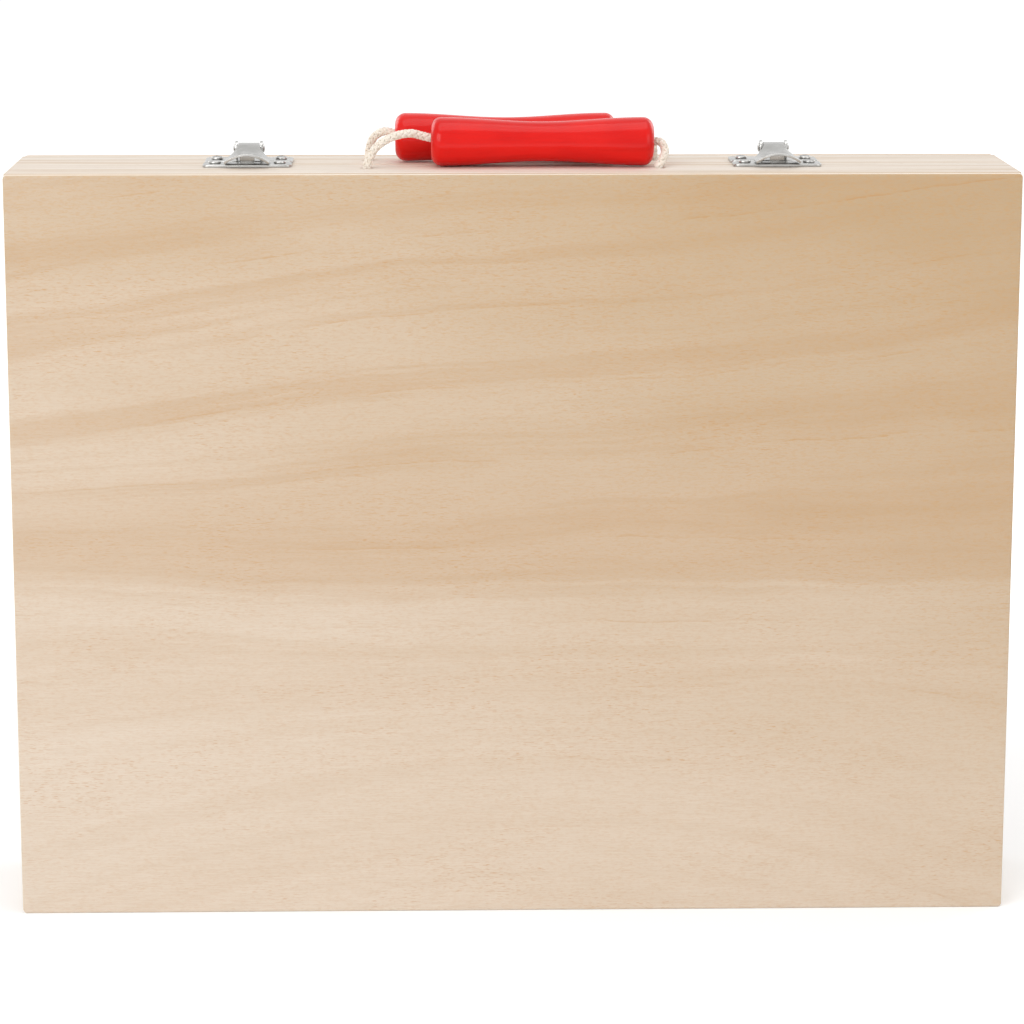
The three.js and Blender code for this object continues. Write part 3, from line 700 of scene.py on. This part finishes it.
def bottom_rail(half):
    slope = math.tan(math.radians(OPEN_STOP_DEGREES / 2))
    profile = [
        (SEAM / 2, RAIL), (SEAM / 2, HINGE_AXIS - SEAM / 2 / slope), (HINGE_AXIS * slope, 0),
        (RAIL_BACK, 0), (RAIL_BACK, RAIL),
    ]
    bm = bmesh.new()
    end = bm.faces.new([bm.verts.new((-HALF_WIDTH, SIDE[half] * out, z)) for out, z in profile])
    drawn = bmesh.ops.extrude_face_region(bm, geom=[end])["geom"]
    moved = [v for v in drawn if isinstance(v, bmesh.types.BMVert)]
    bmesh.ops.translate(bm, vec=(CASE_WIDTH, 0, 0), verts=moved)
    bmesh.ops.recalc_face_normals(bm, faces=bm.faces)
    round_over(bm, BOTTOM_EDGE, 2, along(0), lambda middle, way: middle.z < RAIL - 1 or abs(middle.y) > 10)
    tools = []
    for hinge in END.values():
        x0, x1 = (hinge * HINGE_FROM_MIDDLE + way * (HINGE_LENGTH / 2 + RUNNING) for way in (-1, 1))
        groove = BARREL_RADIUS + RUNNING
        tools.append(turned([(0, x0), (groove, x0), (groove, x1), (0, x1)], 48, (0, 0, HINGE_AXIS), 0))
        low, high = (x0, -SEAM, HINGE_AXIS), (x1, SEAM / 2 + LEAF + SEAT, RAIL - LEAF_FROM_EDGE + SEAT)
        tools.append(block(low, high, half))
    return level_strip(f"{half}_bottom", carve(bm, *tools))


for half in SIDE:
    print(bottom_rail(half).name, "cut out for", len(END), "hinges")

# %% Side rails
def side_rail(half, end):
    outer = END[end] * HALF_WIDTH
    xs = sorted((outer, outer - END[end] * RAIL))
    bm = block((xs[0], SEAM / 2, RAIL + SEAT), (xs[1], RAIL_BACK, CASE_HEIGHT - RAIL - SEAT), half)
    round_over(bm, SEAM_EDGE, 3, along(2), at(1, SIDE[half] * SEAM / 2))
    round_over(bm, GLUED_EDGE, 2, along(2), at(0, outer))
    return piece(f"{half}_{end}_strip", bm, f"{half}_{end}_rail", "rail_wood", RAIL_UPRIGHT)


print([side_rail(half, end).name for half in SIDE for end in END])

# %% [markdown]
# ## Grips
# A grip is turned on a lathe: a long waist between fat ends with well rounded corners, and a hole
# drilled through for the rope. A lathe is what spin is, so half of its outline is spun full circle.
# The corner is a quarter of an ellipse and the waist a cosine, which run into each other smoothly.

# %% Grips
GRIP_FACE_RADIUS, GRIP_CORNER, GRIP_BORE_RADIUS, BORE_EDGE = 4.4, 3.6, 3, 0.4
CORNER_STEPS, WAIST_STEPS = 14, 20


def grip(half):
    end, bore = GRIP_LENGTH / 2, GRIP_BORE_RADIUS
    half_line = [(bore, 0), (bore, -end + BORE_EDGE), (bore + 0.12, -end + 0.12), (bore + BORE_EDGE, -end)]
    for i in range(CORNER_STEPS + 1):
        angle = i / CORNER_STEPS * math.pi / 2
        radius = GRIP_FACE_RADIUS + (GRIP_END_RADIUS - GRIP_FACE_RADIUS) * math.sin(angle)
        half_line.append((radius, GRIP_CORNER * (1 - math.cos(angle)) - end))
    for i in range(1, WAIST_STEPS + 1):
        share = i / WAIST_STEPS - 1
        swell = (1 - math.cos(math.pi * share)) / 2
        radius = GRIP_WAIST_RADIUS + (GRIP_END_RADIUS - GRIP_WAIST_RADIUS) * swell
        half_line.append((radius, share * (end - GRIP_CORNER)))
    profile = half_line + [(radius, -place) for radius, place in half_line[-2::-1]]
    bm = turned(profile, 64, grip_at(half), 0)
    return piece(f"{half}_turned_grip", bm, f"{half}_grip", "red_paint", LACQUER)


print([grip(half).name for half in SIDE])

# %% [markdown]
# ## Plaited rope
# The cord is braided cotton: four strands wind one way and four the other, each passing over one
# and under the next, and each strand is three yarns side by side.
# A smooth tube with a bumpy finish looks like plastic close up. Here every yarn is a thin tube that
# swings in and out once in two crossings, and that makes the plait.

# %% The plait
STRANDS, YARNS, YARNS_APART, TURN = 4, 3, 0.36, 9.0
YARN_RADIUS, PLAIT_RADIUS, WEAVE, CORE_RADIUS = 0.25, 1.04, 0.22, 1.0


def frames_along(line):
    """A pair of directions across the line at every point, with no twist from point to point."""
    side, out = Vector((0, 1, 0)), []
    for i, point in enumerate(line):
        ahead = (line[min(i + 1, len(line) - 1)] - line[max(i - 1, 0)]).normalized()
        side = (side - ahead * side.dot(ahead)).normalized()
        out.append((point, side, ahead.cross(side)))
    return out


def plait(name, line, fray=0.0):
    """A mesh of all the yarns along a line, loose over the last fray millimetres."""
    gap = length_of(line) / (len(line) - 1)
    frames = frames_along(line)
    curve = bpy.data.curves.new(name, "CURVE")
    curve.dimensions, curve.bevel_depth, curve.bevel_resolution = "3D", YARN_RADIUS, 1
    yarns = [(1, 0.0, 0.0, CORE_RADIUS / YARN_RADIUS)]
    for way in (1, -1):
        for strand in range(STRANDS):
            for yarn in range(YARNS):
                apart = (yarn - (YARNS - 1) / 2) * YARNS_APART
                yarns.append((way, math.tau * strand / STRANDS + apart, PLAIT_RADIUS, 1.0))
    for number, (way, start, radius, thick) in enumerate(yarns):
        spline = curve.splines.new("POLY")
        spline.points.add(len(frames) - 1)
        for i, (point, side, other) in enumerate(frames):
            s = i * gap
            turn = start + way * math.tau * s / TURN
            out = radius + (radius > 0) * way * WEAVE * math.cos(math.pi * 2 * STRANDS * s / TURN)
            loose = max(0.0, s - (len(frames) - 1) * gap + fray) / max(fray, 0.01)
            out *= 1 + 0.7 * loose * loose * (0.6 + 0.4 * math.sin(number * 2.4))
            spline.points[i].co = (*(point + (side * math.cos(turn) + other * math.sin(turn)) * out), 1)
            spline.points[i].radius = thick * (1 - 0.35 * loose)
    lofted = placed(name, curve)
    mesh = bpy.data.meshes.new_from_object(lofted.evaluated_get(bpy.context.evaluated_depsgraph_get()))
    bpy.data.objects.remove(lofted)
    ring = len(mesh.vertices) // (len(yarns) * len(frames))
    places, shades = [], []
    for number in range(len(yarns)):
        for i in range(len(frames)):
            places += [i * gap] * ring
            shades += [0.5 + 0.5 * math.sin(number * 5.1)] * ring
    for attribute, values in (("along", places), ("yarn", shades)):
        mesh.attributes.new(attribute, "FLOAT", "POINT").data.foreach_set("value", values)
    mesh.transform(Matrix.Scale(MM, 4))
    bm = bmesh.new()
    bm.from_mesh(mesh)
    bmesh.ops.holes_fill(bm, edges=[e for e in bm.edges if e.is_boundary], sides=0)
    bm.to_mesh(mesh)
    bm.free()
    mesh.materials.clear()
    mesh.materials.append(COTTON)
    mesh.shade_smooth()
    return placed(name, mesh)


print(2 * STRANDS * YARNS, "yarns, which go round once in", TURN, "mm")

# %% Ropes from hole to hole
ROPES, BEND_HEIGHT = {}, 6
for half, line in ROPE_LINES.items():
    length = length_of(line)
    rope = plait(f"{half}_cotton_rope", line)
    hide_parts(f"{half}_rope")
    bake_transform(rope)
    ROPES[half] = (rope, length)
    print(rope.name, len(rope.data.polygons), "faces", round(length, 1), "mm")

# %% [markdown]
# ## Knots
# An overhand knot under the rail keeps each end in: the rope crosses itself, goes round behind and
# comes back through its own loop, pulled tight. A ball would do from afar, but not in an open case.
# It is the same plait, drawn along a knotted line whose turns lie a rope's thickness apart, and its
# cut end spreads a little.

# %% Knots
FRAYED, KNOT_STEP = 3.0, 0.3
KNOT_LINE = [
    (0, 0.2, 4.0), (0, 0.5, 1.8), (0, 0.8, -0.4), (-1.0, 0.9, -2.5), (-2.2, 1.4, -4.3),
    (-3.5, 0.4, -5.8), (-3.6, -1.6, -6.6), (-2.2, -3.3, -6.6), (-0.2, -3.5, -5.7), (1.2, -2.1, -4.8),
    (1.3, 0.0, -4.2), (1.2, 2.1, -3.6), (-0.2, 3.5, -2.7), (-2.2, 3.3, -1.8), (-3.6, 1.6, -1.8),
    (-3.5, -0.4, -2.6), (-2.2, -1.4, -4.1), (-1.0, -0.9, -5.9), (0, -0.8, -8.0), (0.7, -0.7, -10.4),
    (1.2, -0.6, -13.2),
]


def knot(half, end):
    place = hole_at(half, end, CASE_HEIGHT - RAIL)
    turned_about = Matrix.Rotation({"left": 0.4, "right": 2.5}[end] + 0.9 * SIDE[half], 3, "Z")
    line = through([place + turned_about @ Vector(p) for p in KNOT_LINE], KNOT_STEP)
    made = plait(f"{half}_{end}_knot", line, fray=FRAYED)
    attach(made, f"{half}_half")
    return made


for half, (rope, length) in ROPES.items():
    knots = [knot(half, end) for end in END]
    line = [point * MM for point in ROPE_LINES[half]]
    line[::6] + line[-1:]
    print(rope.name, "is held by", [made.name for made in knots])

# %% [markdown]
# ## Latches
# Each latch is bent from sheet steel. A base plate on the back half has two ears that hold a pin,
# the lever rolls round that pin, dips, flares and arches into a wide bill, and a lip under the
# bill hooks over a lug on the front half's plate.
# The lever could be sculpted, but a grid whose rows follow the bend and whose columns follow the
# arch gives clean loops. It is then made as thick as the sheet, half to either side.

# %% Latch sizes
LATCH_FROM_MIDDLE, LATCH_FLOOR = 90, CASE_HEIGHT + SEAT
PLATE, PLATE_WIDTH, PLATE_CORNER, PLATE_FROM_SEAM = 0.9, 30, 2, 1
BASE_DEPTH, CATCH_DEPTH, PLATE_SCREW_FROM_MIDDLE = 14, 10, 11
PIVOT_FROM_SEAM, PIVOT_HEIGHT = 7.5, 4.9
LATCH_PIN_RADIUS, RIVET_RADIUS, RIVET_HEAD = 0.8, 1.5, 0.6
EAR, EAR_RADIUS, LEVER, KNUCKLE_RADIUS, NECK_WIDTH = 0.9, 2.4, 0.8, 1.8, 7
BILL_WIDTH, BILL_REACH, BILL_DIP, BILL_CROWN, BILL_EDGE = 15.6, 22, 4.2, 4.9, 2
BILL_TIP_BULGE, FLARE_START, FLARE_END, DIP = 1.2, 0.12, 0.58, 0.62
LIP, LIP_WIDTH, LIP_TO_PLATE = 0.9, 5, 0.8
LUG, LUG_WIDTH, LUG_HEIGHT, LUG_FROM_SEAM, LUG_LEAN = 1.1, 4.8, 2.7, 5.4, 0.25
PLATE_EDGE, EAR_EDGE, LUG_EDGE, LIP_EDGE, WORN_EDGE = 0.28, 0.12, 0.3, 0.25, 0.14
PIVOT = CASE_HEIGHT + PIVOT_HEIGHT
print("the lever turns", PIVOT_HEIGHT, "mm above the wood")

# %% Plates of the latches
def joined(*parts):
    whole = bmesh.new()
    for part in parts:
        mesh = as_mesh("part", part)
        whole.from_mesh(mesh)
        bpy.data.meshes.remove(mesh)
    return whole


def shifted(bm, x):
    bmesh.ops.translate(bm, vec=(x, 0, 0), verts=bm.verts)
    return bm


def there_and_back(half_line):
    """A profile from one half of it: the other half is its mirror image."""
    return half_line + [(radius, -place) for radius, place in half_line[::-1]]


def latch_plate(half, depth):
    low = (-PLATE_WIDTH / 2, PLATE_FROM_SEAM, LATCH_FLOOR)
    high = (PLATE_WIDTH / 2, PLATE_FROM_SEAM + depth, LATCH_FLOOR + PLATE)
    bm = block(low, high, half)
    round_over(bm, PLATE_CORNER, 8, along(2))
    round_over(bm, PLATE_EDGE, 3, at(2, LATCH_FLOOR + PLATE))
    return bm


def base_plate():
    parts = [latch_plate("back", BASE_DEPTH)]
    for way in END.values():
        inner = NECK_WIDTH / 2 + RUNNING
        xs = sorted((way * inner, way * (inner + EAR)))
        ear = block(
            (xs[0], PIVOT_FROM_SEAM - EAR_RADIUS, LATCH_FLOOR + PLATE / 2),
            (xs[1], PIVOT_FROM_SEAM + EAR_RADIUS, PIVOT + EAR_RADIUS),
        )
        round_over(ear, EAR_RADIUS - 0.01, 10, along(0), at(2, PIVOT + EAR_RADIUS))
        bmesh.ops.remove_doubles(ear, verts=ear.verts, dist=0.03)
        round_over(ear, EAR_EDGE, 2, lambda middle, w: abs(w.x) < 0.1 and middle.z > LATCH_FLOOR + PLATE)
        parts.append(ear)
    return joined(*parts)


def catch_plate():
    top, across = CASE_HEIGHT + LUG_HEIGHT, LUG_WIDTH / 2
    low = (-across, -LUG_FROM_SEAM - LUG, LATCH_FLOOR + PLATE / 2)
    lug = block(low, (across, -LUG_FROM_SEAM, top))
    round_over(lug, LUG / 2 - 0.02, 5, along(0), at(2, top))
    round_over(lug, LUG_EDGE, 3, at(2, top, 0.6), lambda middle, w: abs(abs(middle.x) - across) < 0.01)
    for v in lug.verts:
        v.co.y -= LUG_LEAN * (v.co.z - LATCH_FLOOR) / (top - LATCH_FLOOR)
    return joined(latch_plate("front", CATCH_DEPTH), lug)


for end, way in END.items():
    x = way * LATCH_FROM_MIDDLE
    base = piece(f"{end}_base_plate", shifted(base_plate(), x), f"{end}_latch_base", "nickel", NICKEL)
    catch = piece(f"{end}_catch", shifted(catch_plate(), x), f"{end}_catch_plate", "nickel", NICKEL)
    out = NECK_WIDTH / 2 + RUNNING + EAR + SEAT
    dome = [(0, 1), (0.7, 1), (1.25, 0.75), (RIVET_RADIUS, 0.35), (RIVET_RADIUS, 0)]
    half_pin = [(radius, -out - RIVET_HEAD * share) for radius, share in dome] + [(LATCH_PIN_RADIUS, -out)]
    rivet = turned(there_and_back(half_pin), 32, (x, PIVOT_FROM_SEAM, PIVOT), 0)
    pin = piece(f"{end}_rivet", rivet, f"{end}_latch_pin", "nickel", PIN_STEEL)
    print(base.name, catch.name, pin.name)

# %% The lever's curve
ROLL_DEGREES, ROLL_ROWS, BILL_ROWS, ARCH_COLUMNS = 285, 26, 34, 24


def smooth(t):
    t = min(max(t, 0), 1)
    return t * t * (3 - 2 * t)


def crown_at(share):
    """Height of the bill's middle line above the wood, from the pivot (0) to the tip (1)."""
    top = PIVOT_HEIGHT + KNUCKLE_RADIUS
    if share < DIP:
        return top + (BILL_DIP - top) * smooth(share / DIP)
    return BILL_DIP + (BILL_CROWN - BILL_DIP) * smooth((share - DIP) / (1 - DIP))


def lever_point(row, across):
    """Middle of the sheet: rows go round the knuckle and then out along the bill."""
    if row < ROLL_ROWS:
        turn = math.radians(90 - ROLL_DEGREES * (1 - row / ROLL_ROWS))
        radius = KNUCKLE_RADIUS - LEVER / 2
        y, z = PIVOT_FROM_SEAM + radius * math.cos(turn), PIVOT + radius * math.sin(turn)
        return Vector((across * NECK_WIDTH / 2, y, z))
    share = (row - ROLL_ROWS) / BILL_ROWS
    flare = smooth((share - FLARE_START) / (FLARE_END - FLARE_START))
    half_width = NECK_WIDTH / 2 + (BILL_WIDTH - NECK_WIDTH) / 2 * flare
    drop = (crown_at(share) - BILL_EDGE) * flare
    slope = 2 * drop * across / half_width
    norm = math.hypot(slope, 1)
    return Vector((
        half_width * across - LEVER / 2 * slope / norm,
        PIVOT_FROM_SEAM - BILL_REACH * share + BILL_TIP_BULGE * flare * across * across,
        CASE_HEIGHT + crown_at(share) - drop * across * across - LEVER / 2 / norm,
    ))


print("the bill dips to", round(crown_at(DIP), 1), "mm and ends at", round(crown_at(1), 1), "mm")

# %% The duckbill lever
def thicken(bm, thickness):
    """Makes a bare surface a sheet, half of its thickness on either side."""
    bmesh.ops.recalc_face_normals(bm, faces=bm.faces)
    bm.normal_update()
    for v in bm.verts:
        v.co += v.normal * thickness / 2
    bmesh.ops.solidify(bm, geom=bm.faces[:], thickness=thickness)


def lever_sheet():
    rows = ROLL_ROWS + BILL_ROWS
    bm = bmesh.new()
    bmesh.ops.create_grid(bm, x_segments=ARCH_COLUMNS, y_segments=rows, size=1)
    for v in bm.verts:
        v.co = lever_point(round((v.co.y + 1) / 2 * rows), v.co.x)
    thicken(bm, LEVER)
    return bm


def lever(end):
    lip_front = -LUG_FROM_SEAM - LUG - LUG_LEAN - RUNNING
    lip_share = (PIVOT_FROM_SEAM - lip_front) / BILL_REACH
    lip = block(
        (-LIP_WIDTH / 2, lip_front - LIP, LATCH_FLOOR + PLATE + LIP_TO_PLATE),
        (LIP_WIDTH / 2, lip_front, CASE_HEIGHT + crown_at(lip_share) - LEVER / 2),
    )
    round_over(lip, LIP_EDGE, 3, lambda middle, way: middle.z < LATCH_FLOOR + PLATE + LIP_TO_PLATE + 0.01)
    bm = shifted(joined(lever_sheet(), lip), END[end] * LATCH_FROM_MIDDLE)
    smoothed(bm.faces)
    made = piece(f"{end}_duckbill", bm, f"{end}_latch_lever", "nickel", NICKEL)
    bevel = made.modifiers.new("worn edges", "BEVEL")
    bevel.width, bevel.segments, bevel.limit_method = WORN_EDGE * MM, 2, "ANGLE"
    bevel.angle_limit = math.radians(50)
    return made


for end in END:
    print(lever(end).name)

# %% [markdown]
# ## Screws
# The plates are held by small pan-head screws with a cross in the head, and the hinge leaves by
# smaller ones sunk flush. A screw is turned, so it is spun from its outline, and the cross is
# pressed in by two tapered blades. No two screws stop at the same turn.

# %% Screws
PAN = {"shank": 1, "head": 2.1, "height": 1.1, "length": 6, "tip": 1.6, "blade": 1.35, "deep": 0.7}
SUNK = {"shank": 0.75, "head": 1.35, "height": 0.6, "length": 7, "tip": 1.4, "blade": 0.85, "deep": 0.45}


def outline(s):
    """From the point up the shank and over the head, as turned() takes it."""
    shank, head = s["shank"], s["head"]
    point = [(0, -s["length"]), (shank, s["tip"] - s["length"])]
    if s is SUNK:
        return point + [
            (shank, -s["height"]), (head - 0.06, -0.08), (head, -0.03), (head - 0.05, 0), (0, 0)
        ]
    angles = [math.pi / 2 * i / 7 for i in range(7)]
    dome = [(head * math.cos(a), s["height"] * (0.45 + 0.55 * math.sin(a))) for a in angles]
    return point + [(shank, 0), (head - 0.1, 0), (head, 0.1), *dome, (0, s["height"])]


BLADE_THICKNESS, TIP_WIDTH, TIP_THICKNESS = 0.15, 0.4, 0.7


def cross(s, top):
    """Two crossed blades that taper as they go down, as one closed shape each."""
    blades = []
    for quarter in (0, 1):
        wide, thick = s["blade"], BLADE_THICKNESS * s["head"]
        bm = block((-wide, -thick, top - s["deep"]), (wide, thick, top + OVERRUN))
        for v in bm.verts:
            if v.co.z < top:
                v.co.x *= TIP_WIDTH
                v.co.y *= TIP_THICKNESS
        bmesh.ops.rotate(bm, matrix=Matrix.Rotation(quarter * math.pi / 2, 3, "Z"), verts=bm.verts)
        blades.append(bm)
    return blades


def screw(name, node, sizes, place, facing, slot, finish):
    """facing turns a screw that points down to where its point should go."""
    profile = outline(sizes)
    bm = carve(turned(profile, 36, (0, 0, 0), 2), *cross(sizes, profile[-1][1]))
    bmesh.ops.rotate(bm, matrix=facing @ Matrix.Rotation(next(TURNS), 3, "Z"), verts=bm.verts)
    bmesh.ops.translate(bm, vec=place, verts=bm.verts)
    return piece(name, bm, node, slot, finish)


print(len(outline(PAN)), "points in the outline of a pan head screw")

# %% Screws of the plates and leaves
LEAF_SCREW_FROM_MIDDLE = 8
SCREW_HEIGHT = (HINGE_AXIS + BARREL_RADIUS + RUNNING + RAIL - LEAF_FROM_EDGE) / 2
SCREW_SIDES = {"outer": 1, "inner": -1}
TURNS = iter(0.55 * i + 0.35 * math.sin(3.1 * i) for i in range(16))
for half, side in SIDE.items():
    depth = CATCH_DEPTH if half == "front" else BASE_DEPTH
    tip_away = Matrix.Rotation(math.radians(-90 if half == "front" else 90), 3, "X")
    for end, way in END.items():
        for row, out in SCREW_SIDES.items():
            x = way * (LATCH_FROM_MIDDLE + out * PLATE_SCREW_FROM_MIDDLE)
            screw(
                f"{half}_{end}_{row}_plate_screw", f"{half}_latch_screw_{end}_{row}", PAN,
                (x, side * (PLATE_FROM_SEAM + depth / 2), LATCH_FLOOR + PLATE + SEAT),
                Matrix.Identity(3), "nickel", PIN_STEEL,
            )
            x = way * (HINGE_FROM_MIDDLE + out * LEAF_SCREW_FROM_MIDDLE)
            screw(
                f"{half}_{end}_{row}_leaf_screw", f"{half}_hinge_screw_{end}_{row}", SUNK,
                (x, side * (SEAM / 2 + SEAT / 2), SCREW_HEIGHT), tip_away, "hinge_steel", HINGE_STEEL,
            )

# %% [markdown]
# ## Hinges
# A butt hinge is two leaves of sheet steel whose edges are rolled round a shared pin, so that each
# knuckle is the leaf's own metal. The strip is drawn out of one edge, step by step round the pin,
# as the rolling tool does it, and then made as thick as the sheet.

# %% Rolled strips
HINGE_KNUCKLES, HINGE_PIN_RADIUS, LEAF_EDGE = 5, 0.75, 0.12
ROLL_FROM, ROLL_STEP, ROLL_STEPS = 62, 11.7, 29


def bent_strip(x0, x1, path):
    """A strip from x0 to x1 whose middle follows a path of (y, z)."""
    bm = bmesh.new()
    start = [bm.verts.new((x, *path[0])) for x in (x0, x1)]
    front = [bm.edges.new(start)]
    for (y0, z0), (y1, z1) in zip(path, path[1:]):
        grown = bmesh.ops.extrude_edge_only(bm, edges=front)["geom"]
        moved = [g for g in grown if isinstance(g, bmesh.types.BMVert)]
        bmesh.ops.translate(bm, vec=(0, y1 - y0, z1 - z0), verts=moved)
        front = [g for g in grown if isinstance(g, bmesh.types.BMEdge)][:1]
    thicken(bm, LEAF)
    return bm


print("a knuckle is", HINGE_LENGTH / HINGE_KNUCKLES, "mm long")

# %% Hinges
def leaf(half):
    """The front leaf has the knuckles at both ends and in the middle, the back leaf the other two."""
    side, low = SIDE[half], HINGE_AXIS + BARREL_RADIUS + RUNNING
    corner = (HINGE_LENGTH / 2, SEAM / 2 + LEAF, RAIL - LEAF_FROM_EDGE)
    sheet = block((-HINGE_LENGTH / 2, SEAM / 2, low), corner, half)
    round_over(sheet, LEAF_EDGE, 2, lambda middle, way: middle.z > low + 0.01)
    sinks = []
    for out in SCREW_SIDES.values():
        wide, narrow, face = SUNK["head"] + SEAT, SUNK["shank"] + SEAT, (SEAM + SEAT) / 2
        hole = [(0, face - LEAF), (wide, face - LEAF), (wide, face), (narrow, face + SUNK["height"])]
        hole += [(narrow, face + 2 * LEAF), (0, face + 2 * LEAF)]
        centre = (out * LEAF_SCREW_FROM_MIDDLE, 0, SCREW_HEIGHT)
        sinks.append(turned([(radius, side * place) for radius, place in hole], 36, centre, 1))
    parts = [carve(sheet, *sinks)]
    pitch = HINGE_LENGTH / HINGE_KNUCKLES
    roll = BARREL_RADIUS - LEAF / 2
    for i in range(0 if half == "front" else 1, HINGE_KNUCKLES, 2):
        x0 = i * pitch - HINGE_LENGTH / 2 + SEAT
        middle = SEAM / 2 + LEAF / 2
        path = [(side * middle, low)]
        for step in range(ROLL_STEPS):
            turn = math.radians(ROLL_FROM - step * ROLL_STEP)
            path.append((side * roll * math.cos(turn), HINGE_AXIS + roll * math.sin(turn)))
        parts.append(bent_strip(x0, x0 + pitch - 2 * SEAT, path))
    return joined(*parts)


for end, way in END.items():
    x = way * HINGE_FROM_MIDDLE
    for half in SIDE:
        bm = shifted(leaf(half), x)
        smoothed(bm.faces)
        piece(f"{end}_{half}_leaf", bm, f"{end}_hinge_{half}_leaf", "hinge_steel", HINGE_STEEL)
    half_length = HINGE_LENGTH / 2
    half_pin = [(0, -half_length), (0.5, -half_length), (HINGE_PIN_RADIUS, 0.2 - half_length)]
    bm = turned(there_and_back(half_pin), 28, (x, 0, HINGE_AXIS), 0)
    pin = piece(f"{end}_pin", bm, f"{end}_hinge_pin", "hinge_steel", PIN_STEEL)
    print(pin.name, "and its two leaves")

# %% [markdown]
# ## Floor, lamps and background
# The picture was taken on white. The floor is a plain pale sheet that keeps the case's shadow.
# A stronger lamp would whiten it too, but would bleach the wood. So the floor and the sky are
# brighter only where the camera, or something shiny, looks straight at them.
# Large soft lamps stand in front, above and at the back corners. The flat latch plates would
# mirror one straight behind towards the camera as white patches.

# %% Floor and sky
FLOOR_SIZE, NEAR_GLOW, FAR_GLOW, GLOW_FROM, GLOW_FULL, AMBIENT = 8, 0.25, 0.66, 160, 620, 0.44


def white_paper():
    """Paper that looks whiter away from the case, so that the shadow at its foot stays."""
    f = Finish("white paper")
    x, y = f.axes()[:2]
    glow = f.between(f.distance(x * 0.6, y), GLOW_FROM, GLOW_FULL, NEAR_GLOW, FAR_GLOW)
    return f.surface(
        (0.86, 0.86, 0.86, 1), 1.0, Specular_IOR_Level=0.0,
        Emission_Color=(1, 1, 1, 1), Emission_Strength=glow * f.seen_directly(),
    )


sheet = bmesh.new()
bmesh.ops.create_grid(sheet, x_segments=1, y_segments=1, size=FLOOR_SIZE)
floor = placed("floor", as_mesh("floor", sheet, white_paper()))

sky = bpy.data.worlds.new("sky")
bpy.context.scene.world = sky
sky.use_nodes = True
above = Nodes(sky.node_tree)
background = sky.node_tree.nodes["Background"]
background.inputs["Color"].default_value = (1, 1, 1, 1)
above.feed(background.inputs["Strength"], above.between(above.seen_directly(), 0, 1, AMBIENT, 1.0))
print("floor", tuple(floor.dimensions), "sky", AMBIENT)

# %% Lamps
def lamp(name, place, target, width, height, power):
    light = bpy.data.lights.new(name, "AREA")
    light.shape, light.size, light.size_y, light.energy = "RECTANGLE", width, height, power
    made = placed(name, light)
    made.location = place
    made.rotation_euler = (Vector(target) - Vector(place)).to_track_quat("-Z", "Y").to_euler()
    return made


LAMPS = [
    lamp("key", (-1.3, -1.9, 1.2), (-0.05, 0, 0.1), 1.8, 1.5, 27),
    lamp("top", (0.1, -0.2, 1.9), (0, 0, 0.2), 2.0, 1.2, 12),
    lamp("fill", (1.9, -1.5, 0.9), (0, 0, 0.15), 1.6, 1.4, 9.5),
    lamp("behind left", (-1.7, 1.7, 1.1), (0, 0, 0.15), 1.4, 1.2, 10),
    lamp("behind right", (1.7, 1.7, 1.1), (0, 0, 0.15), 1.4, 1.2, 10),
]
bpy.context.scene.view_settings.view_transform = "Standard"
print([made.name for made in LAMPS])
